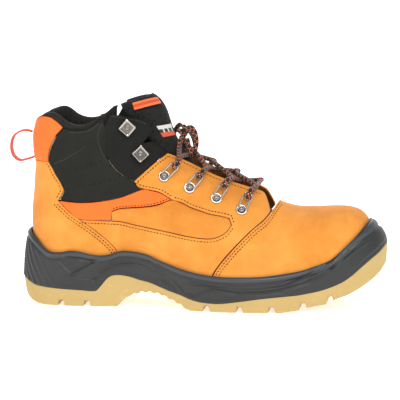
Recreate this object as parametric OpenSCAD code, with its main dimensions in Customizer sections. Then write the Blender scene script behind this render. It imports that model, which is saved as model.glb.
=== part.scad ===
// Mid-cut steel toe work boot, right foot.
// +X points to the toe, -Y to the outer side, +Z up. The origin is on the ground under the heel.
// Stations along the boot are measured from the rearmost point of the sole.

/* [Boot] */
// Length of the sole
sole_length = 305; // [250:1:370]
// Width of the sole at the ball of the foot
sole_width = 103; // [85:1:124]
// Height from the ground to the top of the tongue
boot_height = 178; // [148:1:214]

/* [Layers] */
// Thickness of the nubuck panels
leather_t = 1.9; // [1.4:0.1:2.3]
// Gap between the panels and the layer under them
ply_gap = 0.5; // [0.4:0.05:0.7]
// Gap between one inner layer and the next
core_gap = 0.8; // [0.7:0.05:1]
// Half of the gap where two panels meet edge to edge
seam_gap = 0.3; // [0.25:0.05:0.4]
// Thickness of the steel toe cap
cap_t = 1.8; // [1.4:0.1:2.2]
// Thickness of the ankle foam
foam_t = 3.2; // [2.4:0.1:3.8]
// Thickness of the lining
lining_t = 1.2; // [0.8:0.1:1.5]
// Thickness of the insole board
board_t = 2; // [1.5:0.1:2.5]
// Thickness of the footbed
footbed_t = 5; // [3.5:0.1:6]
// Thickness of the tongue padding
tongue_t = 4; // [3:0.1:5]

/* [Sole] */
// Gap between the outsole and the midsole
bond_gap = 0.2; // [0.15:0.05:0.4]
// Gap between the upper and the midsole cup
cup_gap = 1; // [0.8:0.05:1.2]
// Thickness of the midsole at its top edge
rim_t = 2; // [1.4:0.1:3]
// Depth of the tread grooves
groove_depth = 4.5; // [3:0.1:5.5]
// Width of the tread grooves
groove_w = 5; // [3.5:0.1:6.5]
// Length of the steel shank
shank_l = 82; // [66:1:90]
// Width of the steel shank
shank_w = 14; // [11:0.5:17]
// Thickness of the steel shank
shank_t = 1.4; // [1:0.1:1.8]

/* [Lacing] */
// Diameter of the rivet base of a D-ring
ring_base_d = 9.2; // [7.5:0.1:11]
// Diameter of the wire of a D-ring
ring_wire_d = 1.7; // [1.4:0.1:2]
// Distance between the arms of a D-ring, centre to centre
ring_w = 6.8; // [6.4:0.1:8]
// Length of a D-ring from its rivet to the centre of its bend
ring_l = 11.5; // [9.5:0.1:14]
// Diameter of a rivet head
rivet_d = 5; // [4:0.1:6]
// Side of a lace hook
hook_w = 11; // [9:0.1:13]
// Diameter of the lace
lace_d = 4; // [3.2:0.1:4.6]
// Length of an aglet
aglet_l = 20; // [16:0.5:24]

/* [Webbing] */
// Width of the heel pull loop
loop_w = 10; // [8:0.5:12]
// Thickness of the webbing
webbing_t = 1.6; // [1.2:0.1:2]
// Clearance between the pull loop and the heel
loop_gap = 0.8; // [0.7:0.05:0.95]

/* [Hidden] */

// The shape is drawn at these sizes and scaled to the driving ones.
drawn = [305, 103, 178];
scale_x = sole_length / drawn.x;
scale_y = sole_width / drawn.y;
scale_z = boot_height / drawn.z;
heel_centre = 55;
lateral = -1;
medial = 1;
$fn = 32;

// The heel and the toe turn about these stations, and a station past them counts arc length.
heel_x = 40;
toe_x = 245;
heel_turn = 30;
toe_turn = 44;
back_t = heel_x - heel_turn * PI / 2;
front_t = toe_x + toe_turn * PI / 2;

// Half a section of the upper at a station: a Bezier curve from the feather edge to the top.
// Each row holds the station and the four points, as half width and height.
sections = [
    [40, 30, 32.5, 33, 73, 24, 114, 30.5, 161],
    [62, 29.5, 31.8, 34, 74, 27, 116, 33, 161],
    [84, 28.5, 30.3, 34, 78, 30, 115, 31.5, 161],
    [98, 29, 28.9, 35.5, 76, 34, 110, 28, 157.5],
    [112, 31, 26.7, 38, 75, 34, 110, 22.5, 149],
    [126, 34, 24.2, 40, 68, 35, 105, 19.5, 128.5],
    [142, 38.5, 21.7, 42.5, 61, 36, 97, 17.5, 120.5],
    [162, 42.5, 19.3, 45, 55, 37, 89, 15.5, 110.5],
    [182, 45, 17.8, 47, 51, 37.5, 83, 12.5, 102.8],
    [202, 45, 17.2, 47, 49, 34, 82, 8.5, 96],
    [213, 44, 17.4, 46, 48, 26, 85.5, 0, 85.5],
    [230, 41, 18.8, 44, 50, 30, 80.3, 0, 80.3],
    [245, 38.5, 21.4, 41.5, 60, 31, 79.8, 0, 79.8]];
// The toe in side view, from the feather edge to the ridge, as distance past toe_x and height
toe_line = [[38, 27], [52, 80], [43, 84], [0, 79.8]];
// The back of the heel in side view, as height and distance from the rear of the sole
heel_line = [[30, 10.8], [50, 9.6], [60, 9.3], [77, 9.1], [86, 9.9], [94, 10.7], [106, 11.4], [114, 12.2],
    [119, 11.6], [125, 10.4], [132, 9.9], [140, 9.9], [146, 11.2], [152, 12.6], [158, 14.2], [162, 15.4]];
// How far the middle of the boot bends to the inner side, at each station
bend_line = [[0, 0], [82, 0], [100, -2.4], [115, -3.2], [132, -3.5], [148, -3.5], [165, -2.5],
    [182, -1.2], [200, 0.2], [215, 1.5], [232, 2.2], [249, 2.7], [305, 2.8]];
bend_fade = [[40, 1], [80, 0.45], [120, 0]];

// The sole: half width, top of the outsole, top of the midsole, ground line and inside floor by station
sole_half_line = [[40, 36.5], [55, 36.5], [70, 35.5], [85, 34], [100, 32.8], [115, 34.4], [132, 38.5],
    [148, 43.5], [165, 47.6], [182, 50.2], [200, 51.4], [215, 50.8], [232, 47.8], [245, 43.8]];
sole_heel_a = 40;
sole_toe_a = 60;
wrap_line = [[0, 21], [12, 16.5], [19, 15.5], [36, 14.4], [53, 13.6], [66, 13.3], [70, 17], [74, 22],
    [78, 25.4], [84, 26.7], [94, 25.6], [102, 23.4], [112, 21.2], [120, 18.3], [128, 15.5], [138, 12.7],
    [146, 9.8], [154, 8], [163, 7.2], [172, 7.3], [189, 9.6], [205, 11.9], [221, 13.5], [238, 15.1],
    [254, 18.4], [270, 24.5], [278, 29.6], [286, 36.4], [293, 42.2], [300, 47.6], [305, 53]];
rim_line = [[0, 60.5], [6, 60], [14, 54.5], [18, 51], [22, 47.5], [27, 44.8], [36, 44.6], [44, 46],
    [52, 45.5], [61, 43.5], [69, 42.5], [77, 43.5], [86, 46.5], [94, 47], [102, 46.5], [112, 44.5],
    [120, 41], [128, 38.3], [138, 35], [146, 33], [154, 31.5], [163, 30.2], [171, 29.5], [188, 29.2],
    [205, 29.8], [221, 31.6], [238, 34.8], [254, 40], [262, 43.5], [269, 50], [278, 58.5], [285, 65.5],
    [292, 73]];
ground_line = [[0, 17], [1, 12.5], [2.5, 8], [5, 4.5], [9, 2], [14, 0.5], [20, 0], [83.5, 0], [86, 3],
    [90, 7], [95, 10], [104, 13], [112, 13.2], [120, 12], [129, 8.4], [138, 4.5], [142, 1.5], [146, 0],
    [221, 0], [235, 1.9], [241, 3.5], [259, 6.9], [267, 11], [276, 13.8], [286, 18.8], [292, 22.4],
    [298, 26.8], [302, 30.8], [305, 35.5]];
floor_line = [[0, 33], [40, 32], [62, 31.3], [84, 29.8], [98, 28.4], [112, 26.2], [126, 23.7], [142, 21.2],
    [162, 18.8], [182, 17.3], [202, 16.7], [213, 16.9], [230, 18.3], [245, 20.7], [255, 21.1],
    [265, 22.1], [275, 23.8], [285, 26], [305, 28]];
bond_lift = 8;
groove_stations = [36.6, 58.4, 160, 187.5, 214, 239, 261.5];

// Edges of the panels in side view, as station and height
heel_tab_top = [[-7.2, 151.8], [2.4, 153.4], [13.9, 156.8], [20, 157.4], [25.8, 157], [30.5, 155],
    [35.1, 151.9], [38.3, 148.8]];
heel_tab_edge = [[24.3, 119.6], [24.3, 122.6], [26.6, 130.6], [30, 137.6], [32.2, 141.7], [35.6, 145.7],
    [38.3, 148.8]];
counter_top_edge = [[34.1, 87.4], [36.7, 91.8], [39.2, 96.9], [35.6, 103.8], [31.1, 109.7], [26.7, 116.6],
    [24.3, 119.6]];
counter_low_edge = [[88, 30], [83.2, 46.4], [77.2, 53.6], [69.2, 60.4], [61.2, 66.3], [52.1, 72.3],
    [44, 77.9], [34.1, 87.4]];
collar_seam = [[38.3, 148.8], [44, 147.2], [51, 147.1], [58.4, 148.3], [63.5, 150.8], [69.3, 155.4],
    [72, 157.6]];
hook_back_edge = [[79.2, 160.6], [77.2, 157.6], [74.2, 152.5], [71.2, 147.4], [70.2, 141.4], [73, 130],
    [80, 118], [88, 110.5], [98.3, 105.4]];
hook_front_edge = [[79.2, 160.6], [86, 159.7], [93.8, 157.9], [101.4, 156], [107, 153.1], [110.9, 149.4],
    [111.4, 146.2], [109.3, 142.1], [104.8, 136.5], [112.2, 137.6], [118, 132.8], [124, 127.6]];
facing_back_edge = [[124, 127.6], [114.6, 120.2], [98.3, 105.4]];
facing_low_edge = [[98.3, 105.4], [101, 101.2], [106.4, 99.1], [111.5, 98.2], [119.6, 96.3], [129.7, 90.5]];
ankle_low_edge = [[34.1, 87.4], [52.2, 86.3], [69.2, 87.8], [86.3, 91.2], [94.3, 94.3], [106.4, 99.1]];
insert_top_edge = [[79.4, 79.6], [86.5, 82.1], [111.6, 84.8], [119.7, 86.7], [129.7, 90.5]];
window_top_edge = [[129.7, 90.5], [136.8, 88.6], [145, 84.8], [153, 82], [162.2, 79.1], [170.4, 77.7],
    [177.4, 75.9], [179.6, 70.4]];
window_low_edge = [[52.1, 72.3], [79.5, 71.6], [86.5, 71.4], [103.3, 68.5], [128.9, 64.1], [149.8, 60.5],
    [164.5, 59.9], [174.5, 63.9], [179.6, 70.4]];
throat_line = [[124, 127.6], [142, 119.7], [162, 109.7], [182, 101.9], [202, 95]];
vamp_edge = [[163, 19.5], [166, 31.7], [179.4, 49.4], [195.2, 65.7], [205, 74.2], [210, 80.5], [213.5, 85.5]];

// Upper ends of the inner layers by station
lining_top = [[-7.2, 136], [14, 140], [26, 143.5], [33, 141], [43, 134.5], [53, 133], [66, 137.5], [76, 142],
    [84, 142.5], [92, 136], [100, 126], [112, 113], [126, 105], [142, 99], [162, 91], [182, 83.5], [204, 76]];
foam_low = 88;
foam_drop = 2;
stiffener_top = 86;
foam_end = 104;
stiffener_end = 82;
quarter_end = 204;
rim_top = [[-7.2, 154.3], [0, 154.8], [6, 156.2], [13.9, 158.8], [20, 160.6], [26.6, 161.4], [33, 160],
    [38, 156.5], [43, 153.5], [48, 151.8], [53, 151.4], [58, 152.2], [62, 153.8], [66, 156.4], [70, 160.2],
    [75, 163.4]];
collar_end = 75;
collar_depth = 14.5;
collar_lift = 1.6;

// Depth of each layer below or above the base surface
panel_in = ply_gap;
panel_out = ply_gap + leather_t;
thin_out = panel_out - 0.4;
insert_out = panel_out + 1;
core_out = -0.4;
cap_in = core_out - cap_t;
vamp_lining_out = cap_in - core_gap;
vamp_lining_in = vamp_lining_out - lining_t;
foam_in = core_out - foam_t;
quarter_lining_out = foam_in - core_gap;
quarter_lining_in = quarter_lining_out - lining_t;
cup_in = panel_out + cup_gap;
rim_out = cup_in + rim_t;
board_edge = quarter_lining_in - core_gap;
floor_gap = 0.4;
cover_lap = 0.7;

// A smooth curve through the rows of a table whose first column is the station
function find_row(tab, x, i = 0) = i >= len(tab) - 2 || x < tab[i + 1][0] ? i : find_row(tab, x, i + 1);
function slope(tab, i) =
    i == 0 ? (tab[1] - tab[0]) / (tab[1][0] - tab[0][0])
    : i == len(tab) - 1 ? (tab[i] - tab[i - 1]) / (tab[i][0] - tab[i - 1][0])
    : (tab[i + 1] - tab[i - 1]) / (tab[i + 1][0] - tab[i - 1][0]);
function smooth_row(tab, x) =
    let(i = find_row(tab, x), w = tab[i + 1][0] - tab[i][0], f = max(0, min(1, (x - tab[i][0]) / w)))
    tab[i] * (1 + 2 * f) * (1 - f) * (1 - f) + tab[i + 1] * f * f * (3 - 2 * f)
    + (slope(tab, i) * f * (1 - f) * (1 - f) - slope(tab, i + 1) * f * f * (1 - f)) * w;
function bezier(p, v) = let(w = 1 - v)
    p[0] * w * w * w + p[1] * 3 * w * w * v + p[2] * 3 * w * v * v + p[3] * v * v * v;
function section(x) = let(q = smooth_row(sections, x))
    [[q[1], q[2]], [q[3], q[4]], [q[5], q[6]], [q[7], q[8]]];

// One half of the base surface: station t and place v from the feather edge (0) to the top (1)
function half_point(t, v) =
    t < heel_x ? let(a = (heel_x - t) / heel_turn * 180 / PI, p = bezier(section(heel_x), v))
        [heel_x - (heel_x - lookup(p[1], heel_line)) * sin(a), p[0] * cos(a), p[1]]
    : t > toe_x ? let(a = (t - toe_x) / toe_turn * 180 / PI,
            p = bezier(section(toe_x), v), q = bezier(toe_line, v))
        [toe_x + q[0] * sin(a), p[0] * cos(a), p[1] + (q[1] - p[1]) * sin(a) * sin(a)]
    : let(p = bezier(section(t), v)) [t, p[0], p[1]];
function sized(p) = [p.x * scale_x, p.y * scale_y, p.z * scale_z];
function unit(p) = p / max(norm(p), 1e-9);
function half_normal(t, v) = let(e = 0.01, u = min(v, 0.985), s = t > front_t - 0.5 ? t - 0.5 : t)
    t > toe_x && v > 0.985 ? [0, 0, 1]
    : unit(cross(sized(half_point(s, u + e)) - sized(half_point(s, u)),
        sized(half_point(s + 0.3, u)) - sized(half_point(s, u))));
// The drawn point moved out by d, with the bend of the boot, on the given side
function bent(p) = p + [-heel_centre * scale_x,
    scale_y * lookup(p.x / scale_x, bend_line) * lookup(p.z / scale_z, bend_fade), 0];
function skin(t, v, d, side) =
    t < back_t ? skin(2 * back_t - t, v, d, -side)
    : t > front_t ? skin(2 * front_t - t, v, d, -side)
    : v > 1 ? skin(t, 2 - v, d, -side)
    : let(p = sized(half_point(t, v)), n = half_normal(t, v), q = p + n * d)
        bent([q.x, side * max(q.y, 0), q.z]);
// The same, with the point held at its height and moved out level
function level_skin(t, z, d, side) =
    t < back_t ? level_skin(2 * back_t - t, z, d, -side)
    : t > front_t ? level_skin(2 * front_t - t, z, d, -side)
    : let(v = place(t, min(z, 160)), p = sized(half_point(t, v)), n = half_normal(t, v),
        q = p + unit([n.x, n.y, 0]) * d / max(norm([n.x, n.y]), 0.6))
        bent([q.x, side * max(q.y, 0), z * scale_z]);
function place(t, z, low = 0, high = 1, n = 14) =
    let(m = (low + high) / 2)
    n == 0 ? m : half_point(t, m)[2] < z ? place(t, z, m, high, n - 1) : place(t, z, low, m, n - 1);

// Lists of points
function reversed(p) = [for (i = [len(p) - 1 : -1 : 0]) p[i]];
function joined(a, b) = concat(a, [for (i = [1 : len(b) - 1]) b[i]]);
function turned(p) = [for (q = p) [2 * back_t - q[0], q[1]]];
function placed(p) = [for (q = p) [q[0], place(max(q[0], 2 * back_t - q[0]), q[1])]];
function lengths(p, i = 0, s = 0) = i == len(p) - 1 ? [s]
    : concat([s], lengths(p, i + 1, s + norm(p[i + 1] - p[i])));
function shares(p) = let(s = lengths(p)) s / s[len(s) - 1];
function sorted(a) = len(a) < 2 ? a : let(m = a[floor(len(a) / 2)])
    concat(sorted([for (x = a) if (x < m) x]), [for (x = a) if (x == m) x],
        sorted([for (x = a) if (x > m) x]));
function spread(a, least) = [for (i = [0 : len(a) - 1]) if (i == 0 || i == len(a) - 1 ||
    (a[i] - a[i - 1] > least && a[len(a) - 1] - a[i] > least)) a[i]];
function filled(a, most) = [for (i = [0 : len(a) - 2]) let(n = max(1, ceil((a[i + 1] - a[i]) / most)))
    for (j = [0 : n - 1]) a[i] + (a[i + 1] - a[i]) * j / n, a[len(a) - 1]];
function along(p, s, f, i = 0) = i < len(p) - 2 && f > s[i + 1] ? along(p, s, f, i + 1)
    : p[i] + (p[i + 1] - p[i]) * max(0, min(1, (f - s[i]) / max(s[i + 1] - s[i], 1e-9)));

// A closed shell from a grid of columns: the outer points of each column, then the inner ones
module shell(outer, inner, side) {
    cols = len(outer);
    rows = len(outer[0]);
    half = cols * rows;
    points = concat([for (c = outer) each c], [for (c = inner) each c]);
    function quad(a, b, c, d) = side < 0 ? [[a, b, c], [a, c, d]] : [[a, c, b], [a, d, c]];
    function at(i, j) = i * rows + j;
    faces = concat(
        [for (i = [0 : cols - 2]) for (j = [0 : rows - 2])
            each quad(at(i, j), at(i, j + 1), at(i + 1, j + 1), at(i + 1, j))],
        [for (i = [0 : cols - 2]) for (j = [0 : rows - 2])
            each quad(half + at(i, j), half + at(i + 1, j), half + at(i + 1, j + 1), half + at(i, j + 1))],
        [for (i = [0 : cols - 2]) each quad(at(i, 0), at(i + 1, 0), half + at(i + 1, 0), half + at(i, 0))],
        [for (i = [0 : cols - 2])
            each quad(at(i + 1, rows - 1), at(i, rows - 1),
                half + at(i, rows - 1), half + at(i + 1, rows - 1))],
        [for (j = [0 : rows - 2]) each quad(at(0, j + 1), at(0, j), half + at(0, j), half + at(0, j + 1))],
        [for (j = [0 : rows - 2])
            each quad(at(cols - 1, j), at(cols - 1, j + 1),
                half + at(cols - 1, j + 1), half + at(cols - 1, j))]);
    polyhedron(points, faces, convexity = 8);
}

// A panel ruled between two edges, with as many rows as asked, between two depths
module panel(low, high, rows, d_in, d_out, side, step = 11) {
    a = placed(low);
    b = placed(high);
    sa = shares(low);
    sb = shares(high);
    size = max(lengths(low)[len(low) - 1], lengths(high)[len(high) - 1]);
    f = filled(spread(sorted(concat(sa, sb)), 1 / size), step / size);
    n = len(f) - 1;
    function inset(i) = i == 0 ? seam_gap / size : i == n ? 1 - seam_gap / size : f[i];
    function spot(i, j) = let(s = inset(i), p = along(a, sa, s), q = along(b, sb, s),
        gap = norm(along(high, sb, s) - along(low, sa, s)), g = min(0.3, seam_gap / max(gap, 0.1)),
        u = g + (1 - 2 * g) * j / rows) p + (q - p) * u;
    outer = [for (i = [0 : n]) [for (j = [0 : rows]) let(q = spot(i, j)) skin(q[0], q[1], d_out, side)]];
    inner = [for (i = [0 : n]) [for (j = [0 : rows]) let(q = spot(i, j)) skin(q[0], q[1], d_in, side)]];
    shell(outer, inner, side);
}

// A panel between four edges that meet at its corners: every point inside follows all four edges
module patch(low, high, rear, front, d_in, d_out, side, step = 12, least = 2.6) {
    function size(p) = lengths(p)[len(p) - 1];
    function shared(p, q) = let(s = max(size(p), size(q)), g = seam_gap / s)
        [for (f = filled(spread(sorted(concat(shares(p), shares(q))), least / s), step / s))
            max(g, min(1 - g, f))];
    a = placed(low);
    b = placed(high);
    c = placed(rear);
    e = placed(front);
    sa = shares(low);
    sb = shares(high);
    sc = shares(rear);
    se = shares(front);
    function spot(u, v) = (1 - v) * along(a, sa, u) + v * along(b, sb, u)
        + (1 - u) * along(c, sc, v) + u * along(e, se, v)
        - (1 - v) * ((1 - u) * a[0] + u * a[len(a) - 1]) - v * ((1 - u) * b[0] + u * b[len(b) - 1]);
    spots = [for (u = shared(low, high)) [for (v = shared(rear, front)) spot(u, v)]];
    outer = [for (row = spots) [for (q = row) skin(q[0], q[1], d_out, side)]];
    inner = [for (row = spots) [for (q = row) skin(q[0], q[1], d_in, side)]];
    shell(outer, inner, side);
}

// A layer round the heel between two heights, from a station on one side to the same on the other
module heel_wrap(end, low, high, rows, d_in, d_out, step = 9) {
    n = ceil((end - back_t) / step) * 2;
    ts = [for (i = [0 : n]) end + (2 * back_t - 2 * end) * i / n];
    function spot(t, j) = let(s = max(t, 2 * back_t - t), a = low == 0 ? 0.015 : place(s, low),
        b = place(s, lookup(s, high))) a + (b - a) * j / rows;
    outer = [for (t = ts) [for (j = [0 : rows]) skin(t, spot(t, j), d_out, medial)]];
    inner = [for (t = ts) [for (j = [0 : rows]) skin(t, spot(t, j), d_in, medial)]];
    shell(outer, inner, medial);
}

// A layer over the toe: its rear edge runs over the top, and both halves meet on the ridge
module toe_cover(rear, rows, d_in, d_out, v_low = 0, front_step = 10) {
    a = placed(rear);
    s = shares(rear);
    mid_cols = max(1, ceil((toe_x - min(rear[0][0], toe_x)) / 12));
    arc_cols = ceil((front_t - toe_x) / front_step);
    function edge_at(v) = let(i = [for (k = [0 : len(a) - 2]) if (v <= a[k + 1][1] || k == len(a) - 2) k][0])
        a[i][0] + (a[i + 1][0] - a[i][0]) * max(0, min(1, (v - a[i][1]) / max(a[i + 1][1] - a[i][1], 1e-6)));
    function v_at(j) = v_low + (1 - v_low) * sin(90 * j / rows * 0.5) / sin(45);
    function from_edge(e, f) = e + (toe_x - e) * f;
    function t_at(i, v) = i <= mid_cols ? from_edge(edge_at(v) + cover_lap, i / mid_cols)
        : toe_x + (front_t - toe_x) * (i - mid_cols) / arc_cols;
    last = mid_cols + arc_cols;
    cols = 2 * last + 1;
    function spot(i, j, d) = let(k = i <= last ? i : 2 * last - i, v = v_at(j))
        skin(j == rows && k > mid_cols ? toe_x : t_at(k, v), v, d, i <= last ? lateral : medial);
    function ridge(i) = i <= mid_cols ? i : i >= 2 * last - mid_cols ? 2 * last - i : mid_cols;
    function index(i, j) = j == rows ? cols * rows + ridge(i) : i * rows + j;
    count = cols * rows + mid_cols + 1;
    outer = concat([for (i = [0 : cols - 1]) for (j = [0 : rows - 1]) spot(i, j, d_out)],
        [for (i = [0 : mid_cols]) spot(i, rows, d_out)]);
    inner = concat([for (i = [0 : cols - 1]) for (j = [0 : rows - 1]) spot(i, j, d_in)],
        [for (i = [0 : mid_cols]) spot(i, rows, d_in)]);
    function tri(a, b, c) = a == b || b == c || a == c ? [] : [[a, b, c]];
    function quad(a, b, c, d) = concat(tri(a, b, c), tri(a, c, d));
    faces = concat(
        [for (i = [0 : cols - 2]) for (j = [0 : rows - 1])
            each quad(index(i, j), index(i, j + 1), index(i + 1, j + 1), index(i + 1, j))],
        [for (i = [0 : cols - 2]) for (j = [0 : rows - 1]) each quad(count + index(i, j),
            count + index(i + 1, j), count + index(i + 1, j + 1), count + index(i, j + 1))],
        [for (i = [0 : cols - 2]) each quad(index(i, 0), index(i + 1, 0),
            count + index(i + 1, 0), count + index(i, 0))],
        [for (j = [0 : rows - 1]) each quad(index(0, j + 1), index(0, j),
            count + index(0, j), count + index(0, j + 1))],
        [for (j = [0 : rows - 1]) each quad(index(cols - 1, j), index(cols - 1, j + 1),
            count + index(cols - 1, j + 1), count + index(cols - 1, j))]);
    polyhedron(concat(outer, inner), faces, convexity = 8);
}

// The outline of the sole
function round_end(f) = sqrt(max(0, 1 - f * f));
function sole_half(x) = smooth_row(sole_half_line, min(max(x, heel_x), toe_x))[1]
    * (x < heel_x ? round_end((heel_x - x) / sole_heel_a)
        : x > toe_x ? round_end((x - toe_x) / sole_toe_a) : 1);
// How far along the boot a station past the turns lies, for a given reach of the heel and the toe
function turned_x(t, heel_reach, toe_reach) =
    t < heel_x ? heel_x - heel_reach * sin((heel_x - t) / heel_turn * 180 / PI)
    : t > toe_x ? toe_x + toe_reach * sin((t - toe_x) / toe_turn * 180 / PI) : t;
rim_heel_a = 34;
rim_toe_a = 47;
floor_heel_a = 26;
floor_toe_a = 40;
function floor_height(x) = lookup(x, floor_line) - floor_gap;
function floor_at(t) = floor_height(turned_x(t, floor_heel_a, floor_toe_a));
function outline_t(x) = x < heel_x ? heel_x - heel_turn * asin(min(1, (heel_x - x) / sole_heel_a)) * PI / 180
    : x > toe_x ? toe_x + toe_turn * asin(min(1, (x - toe_x) / sole_toe_a)) * PI / 180 : x;
// A point on the outline moved in, as on a smaller ellipse at the heel and the toe
function outline_point(x, inset, z, side) =
    let(half = sole_half(min(max(x, heel_x), toe_x)), shrink = (half - inset) / half)
    bent(sized([x < heel_x ? heel_x - (heel_x - x) * (1 - inset / sole_heel_a)
        : x > toe_x ? toe_x + (x - toe_x) * (1 - inset / sole_toe_a) : x, side * sole_half(x) * shrink, z]));
groove_slope = 0.7;
function in_groove(x) = max([for (g = groove_stations) abs(x - g) < groove_w / 2 ? 1 : 0]);
midsole_stations = [0, 1, 3, 6, 10, 15, 21, 27, 33, 40, 50, 66, 70, 74, 78, 83.5, 86, 90, 95, 104, 112,
    120, 129, 138, 146, 154, 166, 180, 195, 207, 221, 233, 245, 255, 268, 274, 281, 287, 292, 296, 300,
    303, 305];
groove_edges = [for (g = groove_stations) for (side = [-1, 1]) for (s = [-1, 1])
    g + side * groove_w / 2 + s * groove_slope];
sole_stations = sorted(concat(midsole_stations, groove_edges));

// A solid from rings of points: each ring has one rear point, pairs along the sides and one front point
module ring_stack(rings) {
    n = len(rings[0]);
    last = len(rings) - 1;
    k = n / 2;
    points = [for (r = rings) each r];
    function across(i) = (n - i) % n;
    sides = [for (r = [0 : last - 1]) for (i = [0 : n - 1]) let(j = (i + 1) % n)
        each [[r * n + i, r * n + n + i, r * n + n + j], [r * n + i, r * n + n + j, r * n + j]]];
    low = [for (i = [0 : k - 1]) each concat(i == 0 ? [] : [[i, i + 1, across(i)]],
        i == k - 1 ? [] : [[i + 1, across(i + 1), across(i)]])];
    high = [for (i = [0 : k - 1]) each concat(i == 0 ? [] : [[i, across(i), i + 1]],
        i == k - 1 ? [] : [[i + 1, across(i), across(i + 1)]])];
    lifted = [for (f = high) f + [last * n, last * n, last * n]];
    polyhedron(points, concat(sides, low, lifted), convexity = 8);
}
// A ring: the function is given the index of a station and a side
function ring(stations, f) = let(n = len(stations) - 1)
    concat([for (i = [0 : n]) f(i, lateral)], [for (i = [n - 1 : -1 : 1]) f(i, medial)]);

// The face where the outsole meets the midsole, under the foot and inside the edge
bond_inset = 4;
wall_gap = 5 * bond_gap;
cup_front = 289;
cup_reach = 4;
floor_cover = 2.4;
sole_least = 1.6;
function bond_spot(x) = let(g = lookup(x, ground_line), h = min(g + bond_lift, lookup(x, wrap_line) - 0.6))
    x > cup_front + cup_reach ? h : min(h, max(floor_height(x) - floor_cover, g + sole_least));
bond_line = [for (x = midsole_stations) [x, bond_spot(x)]];
wrap_run = [for (x = midsole_stations) [x, lookup(x, wrap_line)]];
tread_bevel = [2.6, 1];
tread_rise = 1.4;
wrap_least = 2;
module outsole() {
    xs = sole_stations;
    function base(x) = lookup(x, ground_line) + in_groove(x) * groove_depth / scale_z;
    function top(x) = lookup(x, wrap_run);
    color("burlywood") ring_stack([
        ring(xs, function(i, side) outline_point(xs[i], tread_bevel[0], base(xs[i]), side)),
        ring(xs, function(i, side) outline_point(xs[i], tread_bevel[1], base(xs[i]) + tread_rise, side)),
        ring(xs, function(i, side) outline_point(xs[i], 0, max(top(xs[i]), base(xs[i]) + wrap_least), side)),
        ring(xs, function(i, side) outline_point(xs[i], bond_inset, lookup(xs[i], bond_line), side))]);
}

wall_curve = 1.8;
lip = [0.6, 0, 0.5];
module midsole() {
    xs = midsole_stations;
    ts = [for (x = xs) outline_t(x)];
    function top(t) = lookup(turned_x(t, rim_heel_a, rim_toe_a), rim_line);
    function outer_low(i) = lookup(xs[i], wrap_run) + bond_gap;
    function rim_point(i, d, side) = level_skin(ts[i], top(ts[i]), d, side);
    function wall_point(i, f, side) =
        let(p = outline_point(xs[i], 0, outer_low(i), side), q = rim_point(i, rim_out, side),
            g = pow(f, wall_curve)) [p.x + (q.x - p.x) * g, p.y + (q.y - p.y) * g, p.z + (q.z - p.z) * f];
    function inner_point(i, f, side) = let(z0 = floor_at(ts[i]), z1 = top(ts[i]))
        level_skin(ts[i], max(z0 + (z1 - z0) * f, z0), cup_in, side);
    color("#2e3133") difference() {
        ring_stack([
            ring(xs, function(i, side) outline_point(xs[i], bond_inset + wall_gap,
                lookup(xs[i], bond_line) + bond_gap / scale_z, side)),
            ring(xs, function(i, side) outline_point(xs[i], wall_gap, outer_low(i), side)),
            ring(xs, function(i, side) wall_point(i, 0, side)),
            ring(xs, function(i, side) wall_point(i, 0.35, side)),
            ring(xs, function(i, side) wall_point(i, 0.7, side)),
            ring(xs, function(i, side) wall_point(i, 0.92, side)),
            ring(xs, function(i, side) rim_point(i, rim_out - lip.x, side) + [0, 0, lip.z]),
            ring(xs, function(i, side) rim_point(i, cup_in, side)),
            ring(xs, function(i, side) inner_point(i, 0.88, side)),
            ring(xs, function(i, side) inner_point(i, 0.72, side)),
            ring(xs, function(i, side) inner_point(i, 0.45, side)),
            ring(xs, function(i, side) inner_point(i, 0.15, side)),
            ring(xs, function(i, side) level_skin(ts[i], floor_at(ts[i]), cup_in - 1, side))]);
        shank_place() translate([0, 0, pocket_h / 2 - shank_t / 2 - shank_gap])
            cube([shank_l + 2 * shank_gap, shank_w + 2 * shank_gap, pocket_h], center = true);
    }
}

// The shank lies in a pocket in the floor of the midsole.
shank_mid = [112, 26.2];
shank_tilt = 7.6;
shank_drop = 2;
shank_gap = 0.3;
pocket_h = 8;
module shank_place() {
    translate([(shank_mid[0] - heel_centre) * scale_x, scale_y * lookup(shank_mid[0], bend_line),
        shank_mid[1] * scale_z - shank_drop]) rotate([0, shank_tilt, 0]) children();
}
module shank() {
    color("silver") shank_place() cube([shank_l, shank_w, shank_t], center = true);
}

// A flat layer that fills the floor, between two heights above it
module floor_layer(low, high, d) {
    xs = [for (x = midsole_stations) if (x == 0 || x == drawn.x || (x > 2 && x < drawn.x - 3)) x];
    ts = [for (x = xs) outline_t(x)];
    ring_stack([
        ring(xs, function(i, side) level_skin(ts[i], floor_at(ts[i]) + low / scale_z, d, side)),
        ring(xs, function(i, side) level_skin(ts[i], floor_at(ts[i]) + high / scale_z, d, side))]);
}

board_lift = 0.5;
footbed_lift = board_lift + board_t + 0.4;
module insole_board() {
    color("tan") floor_layer(board_lift, board_lift + board_t, board_edge);
}
module footbed() {
    color("dimgray") floor_layer(footbed_lift, footbed_lift + footbed_t, board_edge - 0.4);
}

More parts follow.
